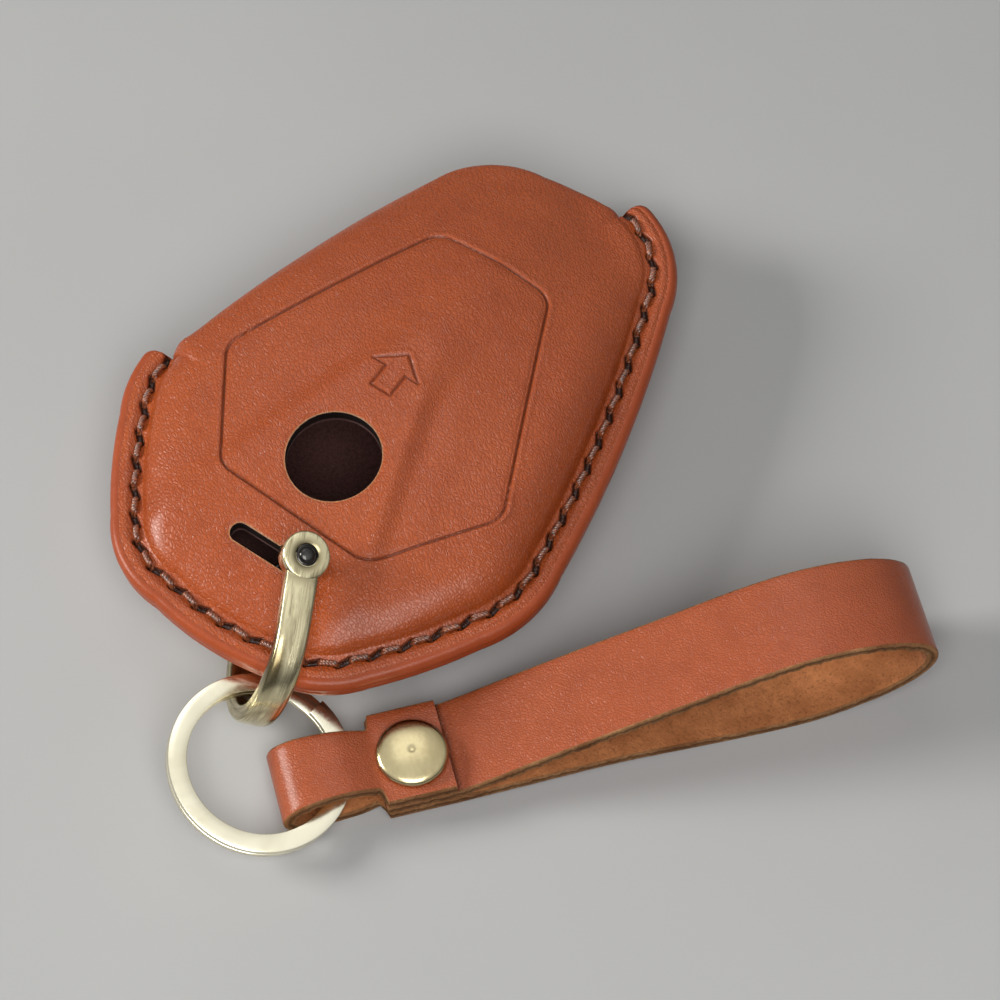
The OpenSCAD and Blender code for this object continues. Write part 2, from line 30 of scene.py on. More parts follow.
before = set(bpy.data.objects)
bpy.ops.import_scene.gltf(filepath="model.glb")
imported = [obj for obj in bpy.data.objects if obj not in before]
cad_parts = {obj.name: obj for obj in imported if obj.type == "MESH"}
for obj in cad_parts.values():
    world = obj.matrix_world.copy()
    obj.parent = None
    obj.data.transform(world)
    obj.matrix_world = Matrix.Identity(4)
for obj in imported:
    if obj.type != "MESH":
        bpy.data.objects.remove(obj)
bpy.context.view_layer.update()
MM = 0.001
# The middle of the back's flat lies at the frame's origin, this far from the ring end and the seam plane
REST_Y, SEAM_Z = 42.0, 10.5
UP = np.array([0, 0, 1.0])

# Camera and light

CAMERA_AT, CAMERA_TO = Vector((153.9, -199.5, 437.3)) * MM, Vector((14.2, -1.4, 0.0)) * MM
LAMPS_TO = Vector((0.01, 0.0, 0.005))
# Directions of the photograph's right and up on the table
RIGHT, AWAY = Vector((0.817, 0.576, 0.0)), Vector((-0.576, 0.817, 0.0))

scene = bpy.context.scene
scene.view_settings.view_transform = "Standard"


def aim(o, at, to):
    """Put a camera or a lamp in the scene, turned to a place."""
    scene.collection.objects.link(o)
    o.location = at
    o.rotation_mode = "QUATERNION"
    o.rotation_quaternion = (to - o.location).to_track_quat("-Z", "Y")


cam = bpy.data.objects.new("camera", bpy.data.cameras.new("camera"))
cam.data.lens, cam.data.sensor_width = 144.0, 36.0
cam.data.clip_start, cam.data.clip_end = 0.01, 10.0
aim(cam, CAMERA_AT, CAMERA_TO)
scene.camera = cam


def area_light(name, right, away, up, side, watts, colour=(1, 1, 1)):
    """A square lamp, placed in metres as the photograph sees the table."""
    lamp = bpy.data.lights.new(name, "AREA")
    lamp.shape = "RECTANGLE"
    lamp.size, lamp.size_y = side, side
    lamp.energy = watts
    lamp.color = colour
    aim(bpy.data.objects.new(name, lamp), RIGHT * right + AWAY * away + Vector((0, 0, up)), LAMPS_TO)


area_light("key", -0.66, 0.04, 0.36, 0.26, 4.2, (1.0, 0.98, 0.94))
area_light("fill", 0.02, -0.40, 0.55, 0.42, 2.9)
area_light("sheen", -0.04, 0.28, 0.60, 0.30, 0.22)


# Small helpers


def new_object(name, verts, faces, mats, face_mats=None, smooth=True, sharp=None):
    """A mesh object from millimetre points."""
    me = bpy.data.meshes.new(name)
    me.from_pydata((np.asarray(verts, float) * MM).tolist(), [], [tuple(map(int, f)) for f in faces])
    for m in mats:
        me.materials.append(m)
    if face_mats is not None:
        me.polygons.foreach_set("material_index", np.asarray(face_mats, np.int32))
    if smooth:
        me.polygons.foreach_set("use_smooth", [True] * len(me.polygons))
    if sharp:
        me.set_sharp_from_angle(angle=math.radians(sharp))
    me.validate()
    me.update()
    o = bpy.data.objects.new(name, me)
    scene.collection.objects.link(o)
    return o


def grid_faces(rows, cols):
    """Quads between rows of points, each row closed on itself."""
    r = np.arange(rows - 1)[:, None]
    c = np.arange(cols)[None, :]
    a = r * cols + c
    b = r * cols + (c + 1) % cols
    return [tuple(q) for q in np.stack([a, b, b + cols, a + cols], -1).reshape(-1, 4)]


def tube(rows):
    """Points and faces of a skin through rows of points, closed with a face at both ends."""
    n, m = len(rows), len(rows[0])
    faces = grid_faces(n, m)
    faces.append(tuple(range(m))[::-1])
    faces.append(tuple((n - 1) * m + i for i in range(m)))
    return np.concatenate(rows), faces


def join(parts):
    verts, faces, n = [], [], 0
    for v, f in parts:
        verts.append(v)
        faces += [tuple(i + n for i in q) for q in f]
        n += len(v)
    return np.concatenate(verts), faces


def smoothstep(u):
    u = np.clip(u, 0, 1)
    return u * u * (3 - 2 * u)


def bump_at(d, w):
    return np.exp(-((d / w) ** 2))


def blurred(before, here, after):
    return 0.25 * before + 0.5 * here + 0.25 * after


def unit(degrees):
    a = np.radians(degrees)
    return np.stack([np.cos(a), np.sin(a)], -1)


def around(n):
    """Even turns round a circle, in radians."""
    return np.linspace(0, 2 * np.pi, n, endpoint=False)


def circles(profile, m):
    """Rings of points round an axis, from a profile of radii and heights."""
    a = around(m)
    return [np.column_stack([r * np.cos(a), r * np.sin(a), np.full(m, z)]) for r, z in profile]


def turned(angle, first, second):
    """A matrix that turns from one axis to another."""
    m = np.eye(3)
    m[first, first] = m[second, second] = np.cos(angle)
    m[second, first] = np.sin(angle)
    m[first, second] = -np.sin(angle)
    return m


def placed(at, right, away, up):
    """A function that takes points from a frame of their own to the world's."""
    return lambda p: at + p[..., :1] * right + p[..., 1:2] * away + p[..., 2:3] * up


def ways_along(path):
    """Directions of a path at its points."""
    t = np.gradient(path, axis=0)
    return t / np.linalg.norm(t, axis=1)[:, None]


def run_along(path):
    """Length from a path's start to each of its points."""
    return np.concatenate([[0], np.cumsum(np.linalg.norm(np.diff(path, axis=0), axis=1))])


def set_values(me, name, values):
    """Keep a number, or three, on each point of a mesh for its material."""
    values = np.asarray(values, np.float32)
    if values.ndim == 1:
        me.attributes.new(name, "FLOAT", "POINT").data.foreach_set("value", values)
    else:
        me.attributes.new(name, "FLOAT_VECTOR", "POINT").data.foreach_set("vector", values.ravel())


def cut(o, cutter):
    """Cut one object's form out of another's mesh, and drop the cutter."""
    mod = o.modifiers.new("cut", "BOOLEAN")
    mod.operation = "DIFFERENCE"
    mod.solver = "MANIFOLD"
    mod.object = cutter
    me = bpy.data.meshes.new_from_object(o.evaluated_get(bpy.context.evaluated_depsgraph_get()))
    old = o.data
    o.modifiers.clear()
    o.data = me
    bpy.data.meshes.remove(old)
    bpy.data.objects.remove(cutter)


# Materials and the world. Scales of noise are turns in a metre, and depths of bumps are in metres.


class Nodes:
    """Short hand for building the nodes of a material or of the world."""

    SOCKETS = {"rough": "Roughness", "metal": "Metallic", "spec": "Specular IOR Level", "coat": "Coat Weight",
               "coat_rough": "Coat Roughness", "sheen": "Sheen Weight"}

    def __init__(self, owner, shader="Principled BSDF"):
        self.owner = owner
        owner.use_nodes = True
        self.tree = owner.node_tree
        self.shader = self.tree.nodes[shader].inputs
        self.coord = self.new("TexCoord").outputs

    def new(self, kind):
        return self.tree.nodes.new("ShaderNode" + kind)

    def set(self, **values):
        for key, value in values.items():
            self.shader[self.SOCKETS[key]].default_value = value

    def wire(self, source, target):
        """Link an output to an input, or set the input where the source is a number or a colour."""
        if isinstance(source, (int, float)):
            target.default_value = source
        elif isinstance(source, tuple):
            target.default_value = (*source, 1)
        else:
            self.tree.links.new(source, target)

    def noise(self, scale, detail=3.0, rough=0.55, distort=0.0, vector=None, out="Fac"):
        n = self.new("TexNoise")
        values = {"Scale": scale, "Detail": detail, "Roughness": rough, "Distortion": distort}
        for key, value in values.items():
            n.inputs[key].default_value = value
        self.wire(vector or self.coord["Object"], n.inputs["Vector"])
        return n.outputs[out]

    def attribute(self, name, out="Fac"):
        n = self.new("Attribute")
        n.attribute_name = name
        return n.outputs[out]

    def ramp(self, source, *stops):
        n = self.new("ValToRGB")
        while len(n.color_ramp.elements) < len(stops):
            n.color_ramp.elements.new(0.5)
        for element, (place, value) in zip(n.color_ramp.elements, stops, strict=True):
            element.position = place
            element.color = (*value, 1) if isinstance(value, tuple) else (value, value, value, 1)
        self.wire(source, n.inputs[0])
        return n.outputs[0]

    def mix(self, share, a, b):
        n = self.new("Mix")
        n.data_type = "RGBA"
        for i, value in ((0, share), (6, a), (7, b)):
            self.wire(value, n.inputs[i])
        return n.outputs[2]

    def most(self, a, b):
        n = self.new("Math")
        n.operation = "MAXIMUM"
        self.wire(a, n.inputs[0])
        self.wire(b, n.inputs[1])
        return n.outputs[0]

    def bump(self, height, strength, depth, normal=None):
        n = self.new("Bump")
        n.inputs["Strength"].default_value = strength
        n.inputs["Distance"].default_value = depth
        self.wire(height, n.inputs["Height"])
        if normal is not None:
            self.wire(normal, n.inputs["Normal"])
        return n.outputs[0]


def make_world():
    """The world lights the object dimly, and shows as a pale studio to the camera and in the metal."""
    scene.world = bpy.data.worlds.new("studio")
    m = Nodes(scene.world, "Background")
    ways, path = m.new("SeparateXYZ"), m.new("LightPath")
    m.wire(m.coord["Generated"], ways.inputs[0])
    studio = m.ramp(ways.outputs["Z"], (0.15, 0.14), (0.85, (1.0, 1.0, 0.99)))
    mirrored = m.mix(path.outputs["Is Glossy Ray"], (0.04, 0.04, 0.041), studio)
    m.wire(m.mix(path.outputs["Is Camera Ray"], mirrored, (0.62, 0.62, 0.615)), m.shader["Color"])


make_world()

# The first colour is painted shade that darkens the leather where the shade attribute says; the second is the
# leather's own bare colour at cut edges
PAINTED_SHADE, BARE_LEATHER = (0.012, 0.004, 0.0025), (0.52, 0.27, 0.12)
GRAIN_WARP = 0.0007


def leather(name, base, deep, light, rough, grain=1.0, cell=2500, turn=0.0, stretch=1.0, coat=0.3):
    """Smooth leather: fine wrinkled grain that runs one way, soft mottling, painted shade where the shade
    attribute says, and bare places.
    """
    m = Nodes(bpy.data.materials.new(name))
    flow = m.new("Mapping")
    flow.vector_type = "TEXTURE"
    flow.inputs["Rotation"].default_value = (0, 0, math.radians(turn))
    flow.inputs["Scale"].default_value = (stretch, 1, 1)
    m.wire(m.coord["Object"], flow.inputs["Vector"])
    warped = m.new("VectorMath")
    warped.operation = "MULTIPLY_ADD"
    warped.inputs[1].default_value = (GRAIN_WARP,) * 3
    m.wire(m.noise(700, 2, out="Color"), warped.inputs[0])
    m.wire(flow.outputs[0], warped.inputs[2])
    cells = m.new("TexVoronoi")
    cells.feature = "DISTANCE_TO_EDGE"
    cells.inputs["Scale"].default_value = cell
    m.wire(warped.outputs[0], cells.inputs["Vector"])
    pebble = m.ramp(cells.outputs["Distance"], (0.0, 0.0), (0.13, 0.7), (0.4, 1.0))
    fine = m.noise(cell * 1.9, 3, 0.6, vector=flow.outputs[0])
    swell = m.noise(260, 3, 0.55)
    wide = m.noise(60, 3, 0.5, 0.4)
    tone = m.mix(m.ramp(wide, (0.3, 0.0), (0.72, 1.0)), base, light)
    tone = m.mix(m.ramp(swell, (0.42, 0.0), (0.75, 0.45)), tone, deep)
    tone = m.mix(m.ramp(pebble, (0.0, 0.5), (0.5, 0.0)), tone, deep)
    # Painted shade, where the shade attribute says
    tone = m.mix(m.attribute("shade"), tone, PAINTED_SHADE)
    tone = m.mix(m.attribute("bare"), tone, BARE_LEATHER)
    m.wire(tone, m.shader["Base Color"])
    m.wire(m.ramp(fine, (0.25, rough - 0.06), (0.75, rough + 0.08)), m.shader["Roughness"])
    normal = m.bump(pebble, 0.85 * grain, 0.00008)
    normal = m.bump(fine, 0.55 * grain, 0.00006, normal)
    m.wire(m.bump(swell, 0.35, 0.00035, normal), m.shader["Normal"])
    m.set(spec=0.3, coat=coat, coat_rough=0.24)
    return m.owner


def suede(name, light, dark, scale=900, sheen=0.35):
    """Napped leather with pores, darker where the shade attribute says."""
    m = Nodes(bpy.data.materials.new(name))
    nap = m.noise(scale, 5, 0.7)
    cloud = m.noise(scale * 0.16, 3, 0.6)
    pores = m.noise(scale * 2.6, 2, 0.5)
    tone = m.mix(m.ramp(cloud, (0.3, 0.0), (0.7, 1.0)), light, dark)
    tone = m.mix(m.ramp(nap, (0.35, 0.0), (0.65, 0.5)), tone, dark)
    tone = m.mix(m.ramp(pores, (0.28, 0.5), (0.46, 0.0)), tone, tuple(0.35 * c for c in dark))
    tone = m.mix(m.attribute("shade"), tone, tuple(0.2 * c for c in dark))
    m.wire(tone, m.shader["Base Color"])
    m.wire(m.bump(nap, 0.9, 0.0004), m.shader["Normal"])
    m.set(rough=0.95, spec=0.15, sheen=sheen)
    return m.owner


def brass(name, light, dark, wear, cover, streak=0.0, rough=0.20):
    """Brass with brown lacquer in soft patches and in streaks along the flow attribute, and darker where the
    shade attribute says, which on the shackle holds lacquer left in hollows, painted shade and a painted
    reflection.
    """
    m = Nodes(bpy.data.materials.new(name))
    fine = m.noise(3500, 3, 0.6)
    dark_share = m.ramp(m.noise(wear, 4, 0.6, 0.8), (cover[0], 0.0), (cover[1], 1.0))
    normal = m.bump(fine, 0.04, 0.00003)
    if streak:
        lines = m.noise(1.0, 3, 0.65, vector=m.attribute("flow", "Vector"))
        dark_share = m.most(dark_share, m.ramp(lines, (0.40, 0.0), (0.72, streak)))
        normal = m.bump(lines, 0.22, 0.00005, normal)
    # The shade attribute adds lacquer left in hollows, painted shade and a painted reflection
    dark_share = m.most(dark_share, m.attribute("shade"))
    m.wire(m.mix(dark_share, light, dark), m.shader["Base Color"])
    m.wire(m.ramp(fine, (0.3, rough - 0.04), (0.7, rough + 0.07)), m.shader["Roughness"])
    m.wire(normal, m.shader["Normal"])
    m.set(metal=1.0)
    return m.owner


def mottled(name, grain, dark, light, span=0.2, bump=None, **finish):
    """A plain finish that one noise mottles between two colours."""
    m = Nodes(bpy.data.materials.new(name))
    noise = m.noise(*grain)
    m.wire(m.ramp(noise, (0.5 - span, dark), (0.5 + span, light)), m.shader["Base Color"])
    if bump:
        m.wire(m.bump(noise, *bump), m.shader["Normal"])
    m.set(**finish)
    return m.owner


LEATHER = leather("leather_front", (0.42, 0.076, 0.014), (0.33, 0.054, 0.010), (0.46, 0.090, 0.018),
                  rough=0.28, turn=-25, stretch=1.8)
LEATHER_BACK = leather("leather_back", (0.40, 0.072, 0.014), (0.31, 0.051, 0.010), (0.44, 0.086, 0.018),
                       rough=0.30, turn=25, stretch=1.8)
STRAP = leather("leather_strap", (0.42, 0.086, 0.024), (0.32, 0.060, 0.017), (0.45, 0.096, 0.029),
                rough=0.32, grain=0.9, cell=3000, turn=10, stretch=1.5)
EDGE = leather("edge_paint", (0.38, 0.068, 0.018), (0.30, 0.052, 0.014), (0.42, 0.080, 0.022),
               rough=0.34, grain=0.2, cell=1800, coat=0.06)
INNER = suede("leather_inner", (0.20, 0.085, 0.045), (0.11, 0.042, 0.022))
SUEDE = suede("suede", (0.74, 0.30, 0.115), (0.40, 0.145, 0.05), 1100, 0.1)
RAW = suede("raw_edge", (0.50, 0.26, 0.115), (0.22, 0.090, 0.035), 1500, 0.0)
RIM = suede("cut_rim", (0.50, 0.25, 0.11), (0.30, 0.12, 0.05), 1800)
# Near black on the cut walls of the window and the slot is painted shade inside the openings
SHADED_CUT = suede("cut_wall_painted_shade", (0.014, 0.006, 0.004), (0.006, 0.003, 0.002), 1500, 0.0)
BRASS = brass("antique_brass", (0.82, 0.74, 0.48), (0.13, 0.095, 0.04), 150, (0.50, 0.90), 0.9)
RING = brass("ring_brass", (0.93, 0.88, 0.69), (0.62, 0.55, 0.38), 60, (0.5, 1.0))
CAP = brass("rivet_brass", (0.53, 0.45, 0.26), (0.28, 0.22, 0.10), 90, (0.40, 0.85))
STEEL = mottled("dark_steel", (900, 3), (0.04, 0.038, 0.036), (0.10, 0.095, 0.09), metal=1.0, rough=0.16)
# The lining's dark brown is partly its own colour and partly painted shade for the dark inside of the cover
FIBRE_AND_SHADE = mottled("microfibre", (3000, 4, 0.7), (0.05, 0.021, 0.018), (0.12, 0.052, 0.045), bump=(0.7, 0.0002),
                rough=0.95, spec=0.1, sheen=0.05)
THREAD = mottled("thread", (2600, 4, 0.65), (0.020, 0.005, 0.002), (0.40, 0.115, 0.045), 0.16, (0.5, 0.0001),
                 rough=0.30, spec=0.6, coat=0.7, coat_rough=0.16)
FLOOR = mottled("floor", (14, 3, 0.5), (0.50, 0.50, 0.495), (0.53, 0.53, 0.525), rough=0.85, spec=0.2)

# Outline of the cover, measured from its ring end

RING_HALF_W, WIDE_HALF_W, WIDE_Y, BLADE_HALF_W, COVER_L = 15.4, 31.6, 24.6, 16.7, 81.5
CORNERS = np.array([(-RING_HALF_W, 0), (RING_HALF_W, 0), (WIDE_HALF_W, WIDE_Y), (BLADE_HALF_W, COVER_L),
                    (-BLADE_HALF_W, COVER_L), (-WIDE_HALF_W, WIDE_Y)], float)
CORNER_RADII = [14, 14, 17, 16, 16, 17]
BULGES = [0.8, 0.4, 1.1, 0.4, 1.1, 0.4]
FLANGE_W, FLANGE_T, WALL_T, SHOULDER_W = 4.2, 1.75, 1.6, 5.6
MOUTH_LIFT, MOUTH_LIP, MOUTH_TRIM, RIM_RISE = 3.0, 0.8, 0.6, 0.6
STATION_STEP, MOUTH_SMOOTHINGS = 0.26, 40
MIDDLE = np.array([0.0, COVER_L * 0.47])
SIDE_LINES = np.roll(CORNERS, -1, 0) - CORNERS
SIDE_FACES = np.degrees(np.arctan2(SIDE_LINES[:, 1], SIDE_LINES[:, 0])) - 90
CORNER_TURNS = (SIDE_FACES - np.roll(SIDE_FACES, 1)) % 360


def corner_centre(i):
    half = CORNER_TURNS[i] / 2
    return CORNERS[i] - CORNER_RADII[i] / math.cos(math.radians(half)) * unit(SIDE_FACES[i - 1] + half)


CENTRES = np.array([corner_centre(i) for i in range(6)])

# Along the mouth, for each corner and side: its share, the share of the lift and the share of the trim
MOUTH = {
    (3, "corner"): [(0.8475, 0.03, -0.7), (0.91, 0.18, -1.1), (0.96, 0.28, -0.9), (1, 0.3, -0.5)],
    (3, "side"): [(0, 0.3, -0.5), (0.5, 0.17, 0.5), (1, 0.17, 0.75)],
    (4, "corner"): [(0, 0.17, 0.75), (0.2, 0.17, 0.95), (0.4, 0.17, 1), (0.6, 0.2, 1), (0.8, 0.3, 0.9),
                    (1, 0.42, 0.85)],
    (4, "side"): [(0, 0.42, 0.85), (0.14, 0.5, 0.8), (0.29, 0.62, 0.75), (0.43, 0.75, 0.8), (0.57, 0.9, 0.75),
                  (0.71, 1, 0.5), (0.86, 1.05, 0.1), (1, 1.05, -0.3)],
    (5, "corner"): [(0, 1.05, -0.3), (0.1, 1.05, -0.9), (0.18, 0.95, -1.3), (0.23, 0.6, -1.3),
                    (0.268, 0.03, -0.8)],
}


def make_stations():
    """Outline points, outward ways, the mouth's lift and trim, what is sewn and how far from its end."""
    out = []

    def add(p, n, key, share):
        lift, trim, sewn = 0.0, 0.0, 1.0
        places, *values = np.array(MOUTH.get(key, [(2, 0, 0)]), float).T
        if places[0] <= share <= places[-1]:
            lift, trim, sewn = *(np.interp(share, places, v) for v in values), 0.0
        out.append((*p, *n, lift * MOUTH_LIFT, trim * MOUTH_TRIM, sewn))

    for i in range(6):
        n = max(4, round(math.radians(CORNER_TURNS[i]) * CORNER_RADII[i] / STATION_STEP))
        for k in range(n):
            way = unit(SIDE_FACES[i - 1] + CORNER_TURNS[i] * k / n)
            add(CENTRES[i] + CORNER_RADII[i] * way, way, (i, "corner"), k / n)
        way = unit(SIDE_FACES[i])
        start = CENTRES[i] + CORNER_RADII[i] * way
        end = CENTRES[(i + 1) % 6] + CORNER_RADII[(i + 1) % 6] * way
        n = max(4, round(float(np.linalg.norm(end - start)) / STATION_STEP))
        for k in range(n):
            f = k / n
            add(start * (1 - f) + end * f + BULGES[i] * 4 * f * (1 - f) * way, way, (i, "side"), f)
    s = np.array(out, float)
    sewn = s[:, 6] > 0.5
    keep = sewn | np.roll(sewn, 1) | np.roll(sewn, -1)
    for _ in range(MOUTH_SMOOTHINGS):
        smooth = blurred(np.roll(s[:, 4:6], 1, 0), s[:, 4:6], np.roll(s[:, 4:6], -1, 0))
        s[:, 4:6] = np.where(keep[:, None], s[:, 4:6], smooth)
    ends = s[sewn & (~np.roll(sewn, 1) | ~np.roll(sewn, -1)), :2]
    to_end = np.min(np.linalg.norm(s[:, None, :2] - ends[None], axis=-1), axis=1)
    return s[:, :2], s[:, 2:4], s[:, 4], s[:, 5], sewn, to_end


ST_P, ST_N, ST_LIFT, ST_TRIM, ST_SEWN, ST_TO_END = make_stations()
COUNT = len(ST_P)


def inset(d):
    return ST_P - (np.where(ST_SEWN, 0, ST_TRIM) + d)[:, None] * ST_N


# Crowns and the lines pressed in them

FRONT_H, FRONT_RING_FALL, FRONT_BLADE_FALL = 8.4, 6.5, 8.1
BACK_H, BACK_FLAT, BACK_RING_FALL, BACK_BLADE_FALL, BACK_SIDE_FALL = 10.5, 0.5, 16.2, 10.1, 11.0
RIDGE_HALF_W, RIDGE_TIP_HALF_W, RIDGE_TIP_Y, RIDGE_WIDE_Y = 16, 1.4, 48.5, 4
RIDGE_STEP, RIDGE_STEP_W, RIDGE_SIDE_FALL, RIDGE_SOFT = 0.5, 1.6, 3.3, 0.9
PANEL = np.array([(11.2, 16.9), (21.2, 31.25), (7.75, 60.5), (-8.9, 60.3), (-20.65, 31.75), (-11.05, 17.75)])
PANEL_R = 3.2
ARROW = np.array([(-0.55, 42.25), (-3.9, 39.55), (-2.0, 39.55), (-2.0, 36.35), (0.9, 36.35), (0.9, 39.55),
                  (2.8, 39.55)])
WINDOW_Y, WINDOW_R = 25.9, 5.9
SLOT_Y, SLOT_W, SLOT_L = 12.0, 2.4, 10.2
SLOT_RUN = (SLOT_L - SLOT_W) / 2
# Each groove or swelling: the line it follows, how far beside it, its height and its half width
PRESSED = [("panel", 0, -0.26, 0.17), ("panel", 0, -0.05, 0.6), ("panel", 0.6, 0.06, 0.32),
           ("panel", -0.42, -0.06, 0.12), ("arrow", 0, -0.20, 0.16), ("arrow", 0.5, 0.06, 0.28),
           ("window", 0, -0.13, 0.4), ("slot", 0, -0.20, 0.55)]
# Soft folds beside the ridge's right edge: how far past it, height and half width
FOLDS = [(4.6, 0.07, 1.8), (2.4, -0.05, 1.5), (-0.5, 0.10, 1.1)]


def line_distance(p, pts):
    """Distance from a closed line."""
    best = np.full(p.shape[:-1], 1e9)
    for a, b in zip(pts, np.roll(pts, -1, 0), strict=True):
        e = b - a
        t = np.clip(((p - a) @ e) / (e @ e), 0, 1)
        best = np.minimum(best, np.linalg.norm(p - a - t[..., None] * e, axis=-1))
    return best


def pulled_in(pts, radius):
    """An anticlockwise polygon, with its sides moved in by a radius."""
    e = np.roll(pts, -1, 0) - pts
    n = np.stack([e[:, 1], -e[:, 0]], -1) / np.linalg.norm(e, axis=1)[:, None]
    last = np.roll(n, 1, 0)
    return pts - radius * (last + n) / (1 + np.sum(last * n, axis=1))[:, None]


PANEL_CORE = pulled_in(PANEL, PANEL_R)


def panel_line(p):
    """Signed distance from the panel's line, negative inside."""
    inside = np.ones(p.shape[:-1], bool)
    for a, b in zip(PANEL_CORE, np.roll(PANEL_CORE, -1, 0), strict=True):
        e = b - a
        inside &= (e[0] * (p[..., 1] - a[1]) - e[1] * (p[..., 0] - a[0])) >= 0
    away = line_distance(p, PANEL_CORE)
    return np.where(inside, -away, away) - PANEL_R


def window_line(p):
    return np.hypot(p[..., 0], p[..., 1] - WINDOW_Y) - WINDOW_R


def slot_line(p):
    return np.hypot(np.maximum(np.abs(p[..., 0]) - SLOT_RUN, 0), p[..., 1] - SLOT_Y) - SLOT_W / 2


def along_cover(y):
    """How far a place is from the middle of the flat to the end on its side, from -1 to 1."""
    return (y - REST_Y) / np.where(y < REST_Y, REST_Y, COVER_L - REST_Y)


def front_crown(p, detail):
    """Height over the seam plane. Without detail it is the inside, where the ridge's edge is crisp."""
    x, y = p[..., 0], p[..., 1]
    grow = (RIDGE_HALF_W - RIDGE_TIP_HALF_W) / (RIDGE_TIP_Y - RIDGE_WIDE_Y)
    past = np.abs(x) - np.clip(RIDGE_TIP_HALF_W + (RIDGE_TIP_Y - y) * grow, RIDGE_TIP_HALF_W, RIDGE_HALF_W)
    h = FRONT_H - np.where(y < REST_Y, FRONT_RING_FALL, FRONT_BLADE_FALL) * along_cover(y) ** 2
    if not detail:
        side_fall = RIDGE_SIDE_FALL * np.maximum(past, 0) / WIDE_HALF_W
        return h - RIDGE_STEP * smoothstep(past / RIDGE_STEP_W) - side_fall
    # The ridge's edge is softer on the left, and softest towards both ends
    soft = np.where(x > 0, 3.0, 3.4) + 9.0 * smoothstep((y - 37) / 18) + 3.0 * smoothstep((20 - y) / 10)
    h = h - RIDGE_STEP * smoothstep((past + 0.3 * soft) / soft)
    h = h - RIDGE_SIDE_FALL * (np.hypot(past, RIDGE_SOFT) + past) / 2 / WIDE_HALF_W
    fade = smoothstep((45 - y) / 10) * smoothstep((y - 13) / 8) * (x > 0)
    for at, height, width in FOLDS:
        h = h + fade * height * bump_at(past - at, width)
    lines = {"panel": panel_line(p), "arrow": line_distance(p, ARROW),
             "window": np.maximum(window_line(p), 0), "slot": np.maximum(slot_line(p), 0)}
    for line, at, height, width in PRESSED:
        h = h + height * bump_at(lines[line] - at, width)
    return h


def back_crown(p):
    """Depth under the seam plane: a round crown that is pressed flat where the cover rests."""
    x, y = p[..., 0], p[..., 1]
    fall = np.where(y < REST_Y, BACK_RING_FALL, BACK_BLADE_FALL) * along_cover(y) ** 2
    return np.minimum(BACK_H, BACK_H + BACK_FLAT - fall - BACK_SIDE_FALL * (x / WIDE_HALF_W) ** 2)


# Rings of points over a shell

# Rows over the sewn flange, inwards from its edge: distance from the edge and height
SEWN_RIM = [(0.14, 0.0), (0.05, 0.12), (0.01, 0.32), (0.0, 0.6), (0.04, 0.92), (0.15, 1.22), (0.33, 1.46),
            (0.56, 1.62), (0.82, 1.70), (1.05, 1.71), (1.18, 1.66), (1.3, 1.71), (1.5, 1.80), (1.75, 1.84)]
SEWN_RIM += [(d, 1.84 - 0.09 * float(smoothstep((d - 1.8) / 0.8))) for d in np.arange(1.95, 4.15, 0.145)]
RIM_ROWS = len(SEWN_RIM)
# The same rows over the rounded lip of the mouth, and up its short wall
LIP = [(0.8, 0.0), (0.5, 0.0), (0.28, 0.04), (0.12, 0.14), (0.03, 0.3)]
LIP_ROWS = RIM_ROWS - len(LIP)
MOUTH_RIM = LIP + [(0, 0.35 + 0.43 * k / (LIP_ROWS - 1)) for k in range(LIP_ROWS)]
# Rows that are painted as edge, on the flange and on the lip
EDGE_ROWS, LIP_EDGE_ROWS = 10, 8
# The flange's horns are rounded, and the back half is cut a little narrower, clear of the ring
HORN_R, BACK_EDGE_STEP = 1.5, 0.16
WALL_SHARES = [0.0, 0.004, 0.012, 0.025, 0.045, 0.07, *np.linspace(0.1, 1, 19)]
SHOULDER_POWER, SEAM_SMOOTHINGS, RIM_SOFT = 2.2, 6, 0.7
# Rows close to the panel's line, on both sides of it, and the round core where rows turn to circles
PANEL_STEPS = [0.75, 0.6, 0.48, 0.38, 0.3, 0.23, 0.17, 0.11, 0.055]
CORE_R, ROWS_OUTSIDE, ROWS_INSIDE, ROWS_CORE, ROWS_BACK = 6.2, 34, 84, 74, 64


def to_world(points, front):
    p = np.asarray(points, float).copy()
    p[..., 1] -= REST_Y
    p[..., 2] = SEAM_Z + p[..., 2] if front else SEAM_Z - p[..., 2]
    return p


def rise(share):
    return (1 - (1 - share) ** SHOULDER_POWER) ** (1 / SHOULDER_POWER)


def crown_of(front, p, detail):
    """A crown's height, never lower than a little over the flange, with a soft change on the outside."""
    least = FLANGE_T + RIM_RISE
    h = (front_crown(p, detail) if front else back_crown(p)) - FLANGE_T - RIM_RISE
    return least + (h + np.hypot(h, RIM_SOFT if detail else 0.0)) / 2


def wall_points(front, share, depth):
    """A ring of points on a wall, at a share of the way from its foot to where the crown starts."""
    p = inset(FLANGE_W + depth + share * (SHOULDER_W - depth))
    full = crown_of(front, p, depth == 0) - depth
    foot = np.minimum(np.where(ST_SEWN, FLANGE_T, ST_LIFT + MOUTH_LIP), full)
    return np.column_stack([p, foot + (full - foot) * rise(share)])


TOP_RING = inset(FLANGE_W + SHOULDER_W)


def crown_points(front, share, depth):
    """A ring of points on a crown, at a share of the way out from its middle."""
    p = MIDDLE + (TOP_RING - MIDDLE) * np.broadcast_to(share, (COUNT,))[:, None]
    return np.column_stack([p, crown_of(front, p, depth == 0) - depth])


def middle_point(front, depth):
    return [*MIDDLE, float(crown_of(front, MIDDLE[None], depth == 0)[0]) - depth]


def panel_shares(offset):
    """Where each ray from the middle gets this far past the panel's line, as a share of the way out."""
    low, high = np.zeros(COUNT), np.full(COUNT, 1.2)
    for _ in range(26):
        half = (low + high) / 2
        inside = panel_line(MIDDLE + (TOP_RING - MIDDLE) * half[:, None]) < offset
        low, high = np.where(inside, half, low), np.where(inside, high, half)
    return low


